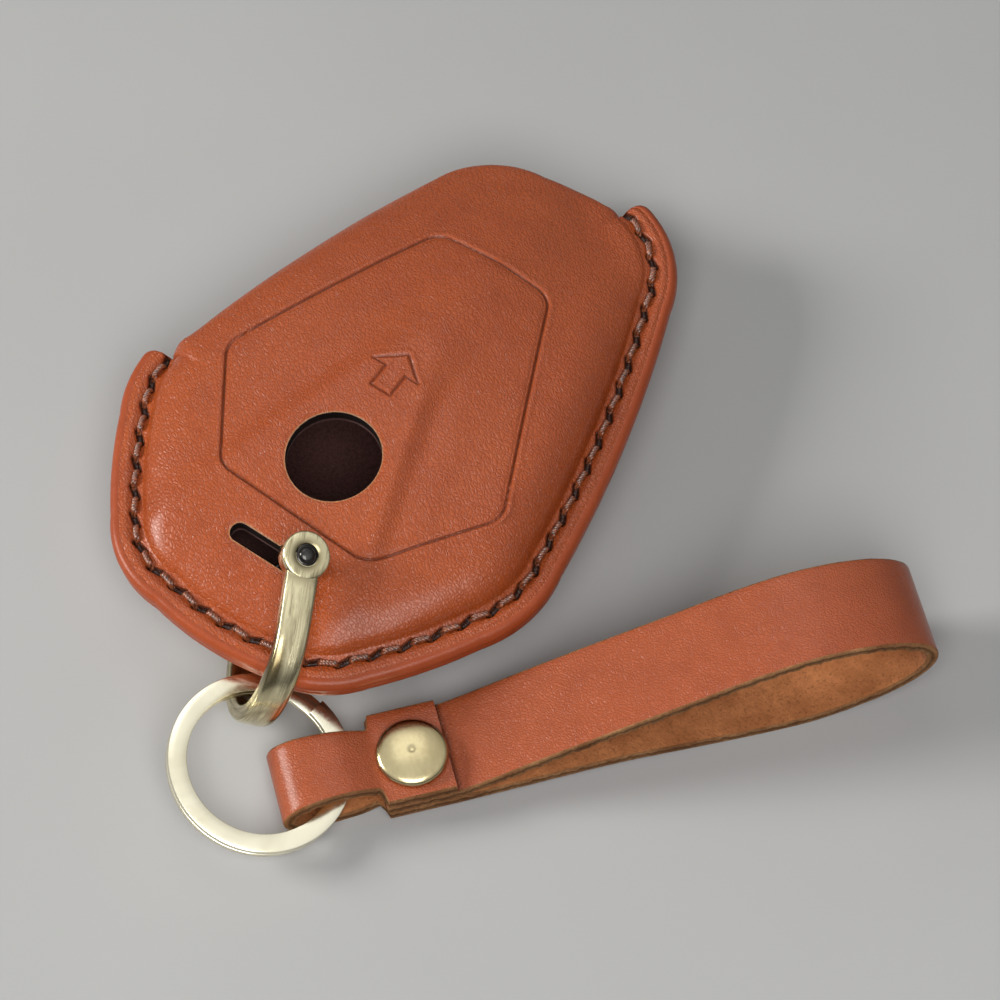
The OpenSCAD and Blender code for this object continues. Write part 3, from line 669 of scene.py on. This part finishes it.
def crown_rows(front):
    """Shares of the crown's rings from the outside in, close together at the panel's line and the arrow."""
    if not front:
        return [np.full(COUNT, s) for s in np.linspace(1, 0, ROWS_BACK)[1:-1]]
    core = CORE_R / np.linalg.norm(TOP_RING - MIDDLE, axis=1)
    near = [panel_shares(d) for d in [*PANEL_STEPS, 0, *[-d for d in PANEL_STEPS[::-1]]]]
    rows = [1 + (near[0] - 1) * u for u in np.linspace(0, 1, ROWS_OUTSIDE)[1:-1]] + near
    rows += [near[-1] + (core - near[-1]) * u for u in np.linspace(0, 1, ROWS_INSIDE)[1:]]
    return rows + [core * u for u in np.linspace(1, 0, ROWS_CORE)[1:-1]]


def outer_rings(front):
    """Rings from the seam plane out over the flange or the lip, up the wall and over the crown."""
    rings = []
    round_off = HORN_R - np.sqrt(np.maximum(HORN_R**2 - np.maximum(HORN_R - ST_TO_END, 0) ** 2, 0))
    edge_step = 0.0 if front else BACK_EDGE_STEP
    for sewn, mouth in zip(SEWN_RIM, MOUTH_RIM, strict=True):
        share = 1 - sewn[0] / FLANGE_W
        d = np.where(ST_SEWN, sewn[0] + (round_off + edge_step) * share, FLANGE_W + mouth[0])
        z = np.where(ST_SEWN, sewn[1], ST_LIFT + mouth[1])
        rings.append(np.column_stack([inset(0) - d[:, None] * ST_N, z]))
    rings += [wall_points(front, share, 0.0) for share in WALL_SHARES]
    rings += [crown_points(front, share, 0.0) for share in crown_rows(front)]
    outer = np.array(rings)
    low, high = RIM_ROWS - 4, RIM_ROWS + 6
    for _ in range(SEAM_SMOOTHINGS):
        smooth = outer.copy()
        smooth[low:high] = blurred(outer[low - 1:high - 1], outer[low:high], outer[low + 1:high + 1])
        outer = np.where(ST_SEWN[None, :, None], smooth, outer)
    return outer


def inner_rings(front, depth, crowns, walls, foot):
    """Rings on the inside of a shell, from its middle out and down to a last ring."""
    rings = [crown_points(front, share, depth) for share in np.linspace(0, 1, crowns)[1:]]
    return rings + [wall_points(front, share, depth) for share in walls] + [foot]


# The seam: places of the awl's slots along the sewn flange, and what it presses in

STITCH_INSET, STITCH_PITCH, STITCH_L = 3.1, 3.85, 3.1
AWL_TILT, AWL_HALF_L, AWL_REACH, AWL_SOFT, AWL_DEPTH = 20, 0.88, 0.50, 0.30, 0.62
VALLEY_DEPTH, VALLEY_W = 0.30, 0.62
FIRST_SEWN = int(np.where(ST_SEWN & ~np.roll(ST_SEWN, 1))[0][0])
SEWN_ORDER = np.roll(np.arange(COUNT), -FIRST_SEWN)
SEWN_ORDER = SEWN_ORDER[ST_SEWN[SEWN_ORDER]]
SEAM_LINE = (ST_P - STITCH_INSET * ST_N)[SEWN_ORDER]
SEAM_RUN = run_along(SEAM_LINE)
STITCHES = int((SEAM_RUN[-1] - STITCH_L) // STITCH_PITCH) + 1
SEAM_START = (SEAM_RUN[-1] - (STITCHES - 1) * STITCH_PITCH) / 2


def seam_at(d):
    return np.array([np.interp(d, SEAM_RUN, SEAM_LINE[:, i]) for i in (0, 1)])


def seam_way(d):
    v = seam_at(d + 0.6) - seam_at(d - 0.6)
    return v / np.linalg.norm(v)


AWL_AT = [SEAM_START + (k - 0.5) * STITCH_PITCH for k in range(STITCHES + 1)]
AWL_HOLES = [seam_at(d) for d in AWL_AT]
AWL_WAYS = [seam_way(d) for d in AWL_AT]


def awl_distance(p, front):
    """Distance from the middle lines of the awl's slots, which slant across the seam."""
    best = np.full(p.shape[:-1], 1e9)
    tilt = math.radians(AWL_TILT if front else -AWL_TILT)
    c, s = math.cos(tilt), math.sin(tilt)
    for hole, way in zip(AWL_HOLES, AWL_WAYS, strict=True):
        u = np.array([way[0] * c - way[1] * s, way[0] * s + way[1] * c])
        along = (p - hole) @ u
        across = (p - hole) @ np.array([-u[1], u[0]])
        best = np.minimum(best, np.hypot(np.maximum(np.abs(along) - AWL_HALF_L, 0), across))
    return best


def press_seam(outer, front):
    """The thread pulls the flange down along the seam, and the awl leaves a slot at each hole."""
    low, high = 12, RIM_ROWS + 4
    band = outer[low:high]
    from_line = np.linalg.norm(band[..., :2] - ST_P[None], axis=-1) - STITCH_INSET
    valley = VALLEY_DEPTH * bump_at(from_line, VALLEY_W)
    slots = AWL_DEPTH * smoothstep((AWL_REACH - awl_distance(band[..., :2], front)) / AWL_SOFT)
    outer[low:high, :, 2] -= (valley + slots) * ST_SEWN[None]


# Shells and linings

LINING_GAP, LINING_T, LINING_BACK = 0.1, 0.4, 0.3
CUTTER_STEP, CUT_RIM = 0.12, 0.13
# Places of a shell's materials in its list
FACE, INSIDE, PAINT, PALE_RIM, SHADED_CUT_WALL = 0, 1, 2, 3, 4


def slot_outline():
    half = SLOT_W / 2 * unit(np.linspace(-90, 90, 20)) + np.array([SLOT_RUN, 0])
    return np.array([0, SLOT_Y - REST_Y]) + np.concatenate([half, -half])


def window_outline():
    return np.array([0, WINDOW_Y - REST_Y]) + WINDOW_R * unit(np.arange(0, 360, 3.0))


def cut_openings(o, front, mat_index, mats):
    """Cut the slot, and the window in the front, with close rows so that a cut wall can have a rim."""
    z0, z1 = (SEAM_Z + 0.5, SEAM_Z + 9.5) if front else (-1.0, SEAM_Z)
    heights = np.linspace(z0, z1, int(abs(z1 - z0) / CUTTER_STEP) + 2)
    for outline in [slot_outline(), window_outline()] if front else [slot_outline()]:
        v, f = tube([np.column_stack([outline, np.full(len(outline), z)]) for z in heights])
        cut(o, new_object("cutter", v, f, mats, [mat_index] * len(f), smooth=False))


def shade_leather(o, front):
    """Keep on each point how much painted shade it gets, in the awl's slots, along the seam and in the
    pressed lines, and how bare it is, at cut edges.
    """
    me = o.data
    co = np.empty(len(me.vertices) * 3)
    me.vertices.foreach_get("co", co)
    co = co.reshape(-1, 3) / MM
    p = co[:, :2] + np.array([0, REST_Y])
    z = (co[:, 2] - SEAM_Z) * (1 if front else -1)
    low = (z > 0.7) & (z < 2.6)
    near_seam = np.min(np.linalg.norm(p[low][:, None] - SEAM_LINE[None, ::4], axis=-1), axis=1)
    shade = np.zeros(len(p))
    # Painted shade in the awl's slots and along the seam's valley
    slots = smoothstep((0.56 - awl_distance(p[low], front)) / 0.22)
    shade[low] = np.maximum(0.94 * slots, 0.30 * bump_at(near_seam, 0.55))
    edges = np.abs(slot_line(p))
    if front:
        # Painted shade in the panel's line and the arrow's groove
        flat = ~low & (z > 2.6)
        panel, arrow = panel_line(p[flat]), line_distance(p[flat], ARROW)
        shade[flat] = np.maximum(0.62 * bump_at(panel, 0.16), 0.45 * bump_at(arrow, 0.16))
        edges = np.minimum(edges, np.abs(window_line(p)))
    set_values(me, "shade", shade)
    set_values(me, "bare", np.where(z > 4, 0.9 * bump_at(edges, 0.10), 0))


def closed_skin(rings, far_pole, near_pole):
    """Points and faces of a closed skin: far pole, rings, near pole."""
    n = len(rings[0])
    verts = np.concatenate([np.concatenate(rings), [far_pole, near_pole]])
    after = (np.arange(n) + 1) % n
    last = (len(rings) - 1) * n
    poles = len(rings) * n
    faces = grid_faces(len(rings), n)
    faces += [(after[i], i, poles) for i in range(n)]
    faces += [(last + i, last + after[i], poles + 1) for i in range(n)]
    return verts, faces


def shell_kinds(outer_rows, rows):
    """Which material each face of a shell has: edge paint on the rims, nap inside, and leather."""
    kinds = np.zeros((rows - 1, COUNT), int)
    rim_start = outer_rows - RIM_ROWS
    ends = ST_SEWN != np.roll(ST_SEWN, -1)
    kinds[outer_rows - EDGE_ROWS:outer_rows] = PAINT
    kinds[rim_start:outer_rows, ends] = PAINT
    kinds[outer_rows - LIP_EDGE_ROWS:outer_rows, ~ST_SEWN] = PAINT
    kinds[outer_rows:] = INSIDE
    return [*kinds.ravel(), *[FACE] * COUNT, *[INSIDE] * COUNT]


def make_shell(name, front, mat):
    """A moulded half, whose skin runs from the outer pole over the wall and the rim to the inner pole."""
    outer = outer_rings(front)
    press_seam(outer, front)
    foot = np.column_stack([inset(FLANGE_W + WALL_T), np.where(ST_SEWN, 0, ST_LIFT)])
    rings = [*outer[::-1], *inner_rings(front, WALL_T, 22, (0.7, 0.45, 0.25, 0.1, 0.03, 0), foot)[::-1]]
    verts, faces = closed_skin(rings, middle_point(front, 0), middle_point(front, WALL_T))
    if front:
        faces = [tuple(f)[::-1] for f in faces]
    mats = (mat, INNER, EDGE, RIM, SHADED_CUT)
    o = new_object(name, to_world(verts, front), faces, mats, shell_kinds(len(outer), len(rings)))
    cut_openings(o, front, SHADED_CUT_WALL, mats)
    # The upper part of each cut wall shows the paler rim, and the rest is painted near black as painted shade
    # inside the opening
    for poly in o.data.polygons:
        if poly.material_index == SHADED_CUT_WALL:
            c = np.array(poly.center) / MM
            z = (c[2] - SEAM_Z) if front else (SEAM_Z - c[2])
            top = float(crown_of(front, np.array([[c[0], c[1] + REST_Y]]), True)[0])
            if top - z < CUT_RIM:
                poly.material_index = PALE_RIM
            poly.use_smooth = False
    o.data.set_sharp_from_angle(angle=math.radians(46))
    shade_leather(o, front)
    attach(o, "cover")
    return o


def make_lining(name, front):
    """The microfibre that lines a shell, cut back from the leather's edge."""
    near, far = WALL_T + LINING_GAP, WALL_T + (LINING_GAP + LINING_T)

    def layer(depth):
        hem = wall_points(front, 0, depth)
        hem[:, 2] = np.minimum(np.where(ST_SEWN, 0, ST_LIFT) + LINING_BACK, hem[:, 2] - LINING_GAP)
        return inner_rings(front, depth, 16, (0.7, 0.45, 0.25, 0.1, 0), hem)

    rings = [r[::3] for r in layer(far) + layer(near)[::-1]]
    verts, faces = closed_skin(rings, middle_point(front, far), middle_point(front, near))
    if not front:
        faces = [tuple(f)[::-1] for f in faces]
    o = new_object(name, to_world(verts, front), faces, (FIBRE_AND_SHADE,))
    cut_openings(o, front, FACE, (FIBRE_AND_SHADE,))
    o.data.set_sharp_from_angle(angle=math.radians(46))
    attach(o, "cover")
    return o


front_leather = make_shell("front_leather", True, LEATHER)
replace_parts(front_leather, "front_shell")
back_leather = make_shell("back_leather", False, LEATHER_BACK)
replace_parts(back_leather, "back_shell")
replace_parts(make_lining("front_microfibre", True), "front_lining")
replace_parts(make_lining("back_microfibre", False), "back_lining")

# Thread

STRANDS, STRAND_R, STRAND_TURNS, STRAND_SIDES = 3, 0.205, 2.0, 7
# Half width and half height of the strands' twist about the stitch's middle line
TWIST_W, TWIST_H = 0.2, 0.17
# A stitch starts this far past its hole, leans to the side and dives at both ends
STITCH_START, STITCH_LEAN, STITCH_BOW, STITCH_DIVE = 0.66, 0.16, 0.15, 0.85


def strand(path):
    """A round tube along a path."""
    t = ways_along(path)
    a = np.cross(t, UP)
    a /= np.maximum(np.linalg.norm(a, axis=1)[:, None], 1e-6)
    b = np.cross(a, t)
    turn = around(STRAND_SIDES)[None, :, None]
    return tube(path[:, None] + STRAND_R * (np.cos(turn) * a[:, None] + np.sin(turn) * b[:, None]))


def stitches(front):
    """Stitches of twisted strands that dive into the awl's slots at both ends."""
    rng = np.random.default_rng(7 if front else 8)
    u = np.linspace(0, 1, 27)
    parts = []
    for k in range(STITCHES):
        a, b = AWL_HOLES[k], AWL_HOLES[k + 1]
        e = (b - a) / np.linalg.norm(b - a)
        across = np.array([-e[1], e[0]])
        lean = (STITCH_LEAN + rng.uniform(-0.04, 0.04)) * (-1 if front else 1)
        start, end = a + e * STITCH_START - across * lean, b - e * STITCH_START + across * lean
        curve = (seam_at(AWL_AT[k] + STITCH_PITCH / 2) - (a + b) / 2)[None] * (4 * u * (1 - u))[:, None]
        middle = start[None] * (1 - u[:, None]) + end[None] * u[:, None] + curve
        dive = STITCH_DIVE * (1 - smoothstep(np.minimum(u, 1 - u) / 0.20))
        z = FLANGE_T - 0.05 + STITCH_BOW * np.sin(np.pi * u) - dive
        start_turn = rng.uniform(0, 2 * np.pi)
        for s in range(STRANDS):
            turn = 2 * np.pi * (s / STRANDS + STRAND_TURNS * u) + start_turn
            side = across[None] * (TWIST_W * np.cos(turn))[:, None]
            parts.append(strand(np.column_stack([middle + side, z + TWIST_H * np.sin(turn)])))
    v, f = join(parts)
    return to_world(v, front), f


thread = new_object("thread", *join([stitches(True), stitches(False)]), (THREAD,))
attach(thread, "cover")
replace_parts(thread, "seam_thread")

# Shackle and its screw

SHACKLE_LEAN, SHACKLE_SWING = math.radians(27), math.radians(29.3)
SHACKLE_X, SHACKLE_RISE = 2.1, 1.6
ARM, BOW_R, BOW_X, BAND_T, BAND_W, EYE_R = 8.6, 8.9, 9.1, 2.2, 4.2, 3.0
# The pin's bore in the eyes, the seat for its domed end and the dome's gap over the seat
BORE_R, SEAT_R, DOME_SEAT, DOME_GAP = 1.06, 1.40, 0.6, 0.05
# Streaks of lacquer are long along the band and close together across it
STREAK_ALONG, STREAK_ACROSS = 0.16, 1.6
PIN = np.array([SHACKLE_X, SLOT_Y - REST_Y, SEAM_Z + SHACKLE_RISE])
# The shackle's own directions: out from the pin to the bow, along the pin, and across the band
PIN_WAY = np.array([math.sin(SHACKLE_LEAN), 0, math.cos(SHACKLE_LEAN)])
PIN_SIDE = np.array([math.cos(SHACKLE_LEAN), 0, -math.sin(SHACKLE_LEAN)])
OUT_WAY = -math.cos(SHACKLE_SWING) * np.array([0, 1.0, 0]) + math.sin(SHACKLE_SWING) * PIN_SIDE
BAND_WAY = np.cross(OUT_WAY, PIN_WAY)
# Turn at which the straight arms meet the bow
BOW_TURN = math.atan2(ARM, -BOW_X) - math.acos(BOW_R / math.hypot(BOW_X, ARM))
at_shackle = placed(PIN, OUT_WAY, PIN_WAY, BAND_WAY)


def band_section():
    """A square with full round edges, for a half thickness and a half width of 1."""
    c, s = np.cos(around(36)), np.sin(around(36))
    power = 2 / 4.2
    return np.column_stack([np.sign(c) * np.abs(c) ** power, np.sign(s) * np.abs(s) ** power])


def shackle_band():
    """The band bent to a U, with its streaks' flow and its shade."""
    arm_l = math.sqrt(BOW_X**2 + ARM**2 - BOW_R**2)
    way = np.array([math.sin(BOW_TURN), -math.cos(BOW_TURN)])
    arm = np.array([0, ARM]) + way * arm_l * np.linspace(0, 1, 16)[:-1, None]
    turns = np.linspace(BOW_TURN, -BOW_TURN, 61)
    bow = np.array([BOW_X, 0]) + BOW_R * np.column_stack([np.cos(turns), np.sin(turns)])
    path = np.concatenate([arm, bow, arm[::-1] * np.array([1, -1])])
    turns = np.concatenate([np.full(len(arm), BOW_TURN), turns, np.full(len(arm), -BOW_TURN)])
    from_end = np.minimum(np.arange(len(path)), np.arange(len(path))[::-1])
    half_w = BAND_W / 2 * (0.98 - 0.04 * smoothstep((from_end - 4) / 20))
    half_t = BAND_T / 2 * (0.92 + 0.10 * smoothstep((from_end - 4) / 22))
    sec = band_section()
    out = np.column_stack([np.cos(turns), np.sin(turns)])
    flat = path[:, None] + sec[None, :, :1] * half_t[:, None, None] * out[:, None]
    rows = np.concatenate([flat, sec[None, :, 1:] * half_w[:, None, None]], -1)
    v, f = tube(rows)
    run = run_along(path)[:, None] * np.ones(len(sec))
    round_at = np.arange(len(sec)) * (2 * (BAND_W + BAND_T) / len(sec)) * np.ones(run.shape)
    flow = np.column_stack([run.ravel() * STREAK_ALONG, round_at.ravel() * STREAK_ACROSS, np.zeros(run.size)])
    # Brown low on the right side is a painted reflection, the dark line in the crease beside the edge is
    # painted shade, and lacquer is left at the eye's neck
    outside = sec[:, 0] > 0
    low_right_reflection = 0.95 * bump_at(run - 13.5, 4.2) * (outside & (sec[:, 1] > 0.05))
    crease_shade = 0.5 * (outside & (sec[:, 0] > 0.75) & (sec[:, 1] < -0.75)) * np.ones(run.shape)
    neck = 0.55 * bump_at(run - 2.9, 0.9)
    shade = np.maximum(np.maximum(low_right_reflection, crease_shade), neck).ravel()
    return (at_shackle(v), f), flow, shade


def shackle_eye(side):
    """A thick rounded disc with a bore for the pin, and on the near side a seat for the dome."""
    face, foot = BAND_T / 2 + 0.06, -BAND_T / 2
    prof = [(BORE_R, foot), (EYE_R - 0.3, foot), (EYE_R - 0.09, foot + 0.09), (EYE_R, foot + 0.3)]
    prof += [(EYE_R, 0.85), (EYE_R - 0.09, face - 0.1), (EYE_R - 0.3, face)]
    if side > 0:
        prof += [(1.50, face), (1.42, face - 0.06), (SEAT_R, 0.52), (BORE_R, 0.5)]
    else:
        prof += [(1.2, face), (BORE_R, 1.0)]
    m = 64
    v = np.concatenate(circles([(r, side * (ARM + h)) for r, h in prof], m))[:, [0, 2, 1]]
    last = (len(prof) - 1) * m
    faces = grid_faces(len(prof), m)
    faces += [(last + i, last + (i + 1) % m, (i + 1) % m, i) for i in range(m)]
    flow = np.column_stack([v[:, 0] * STREAK_ALONG, v[:, 2] * STREAK_ACROSS, v[:, 1]])
    shade = 0.85 * smoothstep((1.75 - np.hypot(v[:, 0], v[:, 2])) / 0.3)
    return (at_shackle(v), faces), flow, shade


def make_shackle():
    parts, flow, shade = zip(shackle_band(), shackle_eye(1), shackle_eye(-1), strict=True)
    v, f = join(parts)
    o = new_object("shackle_body", v, f, (BRASS,), sharp=50)
    set_values(o.data, "flow", np.concatenate(flow))
    set_values(o.data, "shade", np.concatenate(shade))
    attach(o, "shackle")
    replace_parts(o, "shackle")


make_shackle()


def revolve(name, profile, mat, place, m=96, sharp=35):
    """A closed form turned about its own axis from a profile of radii and heights."""
    v, f = closed_skin(circles(profile, m), [0, 0, profile[0][1]], [0, 0, profile[-1][1]])
    return new_object(name, place(v), f, (mat,), sharp=sharp)


def make_screw():
    end = -ARM - BAND_T / 2
    top = ARM + BAND_T / 2 - DOME_SEAT + DOME_GAP
    dome = [(1.30, 0), (1.34, 0.45), (1.29, 0.60), (1.17, 0.64), (1.09, 0.54), (1.02, 0.55), (0.96, 0.70),
            (0.82, 0.85), (0.60, 0.96), (0.32, 1.01)]
    prof = [(0.85, end), (1.0, end + 0.15), (1.0, top)] + [(r, top + h) for r, h in dome]
    o = revolve("screw_pin", prof, STEEL, placed(PIN, OUT_WAY, BAND_WAY, PIN_WAY), m=64)
    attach(o, "pin")
    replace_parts(o, "shackle_screw")


make_screw()

# Split ring

RING_OUT_R, WIRE_W, WIRE_T, TURN_GAP, WIRE_BEVEL = 11.25, 2.3, 0.85, 0.1, 0.14
RING_TURN, RING_LEAN = np.radians(105.2), np.radians(16.4)
RING_AT = np.array([13.43, -7.92 - REST_Y, 5.89])


def wire_section():
    """The flat wire's section round a turn, as radius and height, with softened edges."""
    inner, outer, half = RING_OUT_R - WIRE_W, RING_OUT_R, WIRE_T / 2
    b, soft, shy = WIRE_BEVEL, 0.05, 0.04
    low_out = [(outer - b, -half), (outer - shy, soft - half), (outer, b - half)]
    high_in = [(inner + b, half), (inner + shy, half - soft), (inner, half - b)]
    high_out = [(r, -z) for r, z in low_out[::-1]]
    low_in = [(r, -z) for r, z in high_in[::-1]]
    return np.array([low_in[-1], *low_out, *high_out, *high_in, *low_in[:-1]])


def make_ring():
    turns = np.arange(20, 700.01, 2.5)
    lift = (WIRE_T + TURN_GAP) * (smoothstep((turns - 340) / 40) - 0.5)
    sec = wire_section()
    pose = turned(RING_TURN, 0, 1) @ turned(RING_LEAN, 1, 2)
    v, f = tube([np.column_stack([sec[:, :1] * unit(turn), sec[:, 1] + z])
                 for turn, z in zip(turns, lift, strict=True)])
    o = new_object("ring_wire", v @ pose.T + RING_AT, f, (RING,), sharp=30)
    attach(o, "ring")
    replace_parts(o, "split_ring")


make_ring()

# Strap, in its own frame: along it from the rivet, across it, and up from the table

STRAP_T, STRAP_W, STRAP_SHIFT, STRAP_TURN = 1.5, 12.0, 0.5, math.radians(49.8)
LOOP_L, LOOP_H, PAD_L, SHOULDER_S, TONGUE_S = 63.6, 17.3, 4.2, 4.4, 16.8
TONGUE_HALF_W, FOLD_HALF_W = 4.0, 4.7
# Heights of the middles of the strap's three layers at the rivet, and of the tongue's two
LAYERS = (1.65, 3.2, 4.75)
TONGUE_LOW, TONGUE_HIGH = 0.75, 6.25
EDGE_SOFT, ACROSS_POINTS, SIDE_POINTS = 0.22, 15, 5
RIVET = np.array([27.4, 3.7 - REST_Y, 0.0])
ALONG = np.array([math.cos(STRAP_TURN), math.sin(STRAP_TURN), 0.0])
ACROSS = np.array([-math.sin(STRAP_TURN), math.cos(STRAP_TURN), 0.0])
at_rivet = placed(RIVET, ALONG, ACROSS, UP)
# The tongue round the ring, as shares of its reach and height, and the loop, as shares of its own
TONGUE = [(0.39, 0.88), (0.52, 0.99), (0.7, 1), (0.84, 0.9), (0.93, 0.7), (0.955, 0.44), (0.92, 0.2),
          (0.83, 0.04), (0.72, 0), (0.45, 0)]
LOOP = [(0.2, 0.11), (0.38, 0.125), (0.53, 0.082), (0.645, 0.05), (0.72, 0.0435), (0.775, 0.058),
        (0.84, 0.12), (0.905, 0.215), (0.955, 0.345), (0.982, 0.48), (0.988, 0.61), (0.972, 0.74),
        (0.93, 0.855), (0.875, 0.925), (0.81, 0.957), (0.74, 0.948), (0.64, 0.868), (0.52, 0.725),
        (0.38, 0.567), (0.27, 0.435), (0.17, 0.305), (0.115, 0.235)]


def spline(pts, step):
    """Catmull-Rom through points, at nearly even spacing."""
    p = np.asarray(pts, float)
    p = np.concatenate([[2 * p[0] - p[1]], p, [2 * p[-1] - p[-2]]])
    out = []
    for a, b, c, d in zip(p, p[1:], p[2:], p[3:]):
        n = max(2, int(np.linalg.norm(c - b) / step))
        for t in np.arange(n) / n:
            square, cube = 2 * a - 5 * b + 4 * c - d, 3 * b - a - 3 * c + d
            out.append(0.5 * (2 * b + (c - a) * t + square * t * t + cube * t**3))
    out.append(p[-2])
    return np.array(out)


def strap_path():
    """The strip's middle line from the pad's cut end, round the tongue and the loop, to its other end."""
    low, mid, high = LAYERS
    pts = [(PAD_L, high), (0, high), (-3.2, high), (-4.6, high + 0.12)]
    pts += [(-s * TONGUE_S, TONGUE_LOW + h * (TONGUE_HIGH - TONGUE_LOW)) for s, h in TONGUE]
    pts += [(-5.9, 1.22), (-4.45, 1.62), (-2.2, low), (2.0, low), (PAD_L, low)]
    pts += [(s * LOOP_L, h * LOOP_H) for s, h in LOOP]
    pts += [(PAD_L, mid + 0.03), (2.0, mid), (-4.4, mid)]
    return spline(pts, 0.4)


def strap_section(half_w, wave, fray):
    """A flat strip's section, across and up, whose cut sides wave and fray."""
    half_t = STRAP_T / 2
    x = np.linspace(-half_w + EDGE_SOFT, half_w - EDGE_SOFT, ACROSS_POINTS)
    top = np.column_stack([x, np.full(ACROSS_POINTS, half_t)])
    low = np.column_stack([x[::-1], np.full(ACROSS_POINTS, -half_t)])
    heights = np.array([half_t - 0.10, half_t - 0.35, 0.0, -half_t + 0.25, -half_t + 0.06])
    side = half_w + np.array([-0.05, 0.01, wave - 0.08, wave + 0.02, wave - 0.05])
    loose = np.array([0, 0.3, 1, 1, 1])
    right = np.column_stack([side + loose * fray[0], heights + 0.3 * fray[1]])
    left = np.column_stack([-side + loose * fray[2], heights + 0.3 * fray[3]])
    return np.concatenate([top, right, low, left[::-1]])


def make_strap():
    path = strap_path()
    t = ways_along(path)
    out = np.column_stack([t[:, 1], -t[:, 0]])
    fold = int(np.argmin(path[:, 0]))
    rng = np.random.default_rng(5)
    rows, shade = [], []
    for i, length in enumerate(run_along(path)):
        s = path[i, 0]
        half_w = STRAP_W / 2
        if i < fold + 90 and s < -3.0:
            narrow = np.interp(-s, [SHOULDER_S, 16.0], [TONGUE_HALF_W, FOLD_HALF_W])
            half_w = half_w + (narrow - half_w) * float(smoothstep((-s - 4.15) / 0.6))
        wave = 0.05 * math.sin(length * 2.1) + 0.04 * math.sin(length * 5.3 + 1)
        sec = strap_section(half_w, wave, rng.normal(0, 0.05, 4))
        p = path[i][None] + sec[:, 1:2] * out[i][None]
        rows.append(at_rivet(np.column_stack([p[:, 0], sec[:, 0] + STRAP_SHIFT, p[:, 1]])))
        # Painted shade lies in the fold past the pad's end, and the raw edge has a dark middle line
        on_top = (path[i, 1] > 2.4) * (path[i, 1] < LAYERS[2] - 0.2)
        row_shade = np.zeros(len(sec))
        row_shade[:ACROSS_POINTS] = 0.6 * bump_at(s - 4.55, 0.45) * on_top
        row_shade[[ACROSS_POINTS + 2, len(sec) - 3]] = 0.75
        shade.append(row_shade)
    v, f = tube(rows)
    leather_face, nap, raw = 0, 1, 2
    raw_side = [raw] * (SIDE_POINTS + 1)
    kinds = [leather_face] * (ACROSS_POINTS - 1) + raw_side + [nap] * (ACROSS_POINTS - 1) + raw_side
    kinds = kinds * (len(path) - 1) + [raw, raw]
    o = new_object("strap", v, f, (STRAP, SUEDE, RAW), kinds, sharp=50)
    set_values(o.data, "shade", np.concatenate(shade))
    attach(o, "loop")
    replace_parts(o, "strap_band")


make_strap()

# Rivet: a domed cap with a dimple, and a post with a foot, as radii and heights

PAD_TOP = LAYERS[2] + STRAP_T / 2 + 0.02
SOCKET_L, POST_R = 1.5, 1.5
CAP_DOME = [(4.1, 0), (4.34, 0.12), (4.4, 0.4), (4.33, 0.72), (4.12, 0.98), (3.8, 1.12), (3.3, 1.25),
            (2.6, 1.38), (1.8, 1.48), (0.9, 1.55), (0.42, 1.56), (0.3, 1.51), (0.16, 1.49)]
FOOT = [(3.4, 0.0), (4.0, 0.08), (4.34, 0.3), (4.4, 0.55), (4.3, 0.84)]

cap_profile = [(1.9, PAD_TOP - SOCKET_L), (1.9, PAD_TOP)] + [(r, PAD_TOP + h) for r, h in CAP_DOME]
cap = revolve("rivet_cap_dome", cap_profile, CAP, at_rivet, sharp=60)
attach(cap, "loop")
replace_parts(cap, "rivet_cap")
foot = revolve("rivet_foot", FOOT + [(POST_R, 0.86), (POST_R, PAD_TOP - 0.2)], CAP, at_rivet, sharp=60)
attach(foot, "loop")
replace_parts(foot, "rivet_post")

# Floor

FLOOR_HALF, FLOOR_Z = 600, -0.045
corners = [(x * FLOOR_HALF, y * FLOOR_HALF, FLOOR_Z) for x, y in ((-1, -1), (1, -1), (1, 1), (-1, 1))]
floor = new_object("floor", corners, [(0, 1, 2, 3)], (FLOOR,), smooth=False)
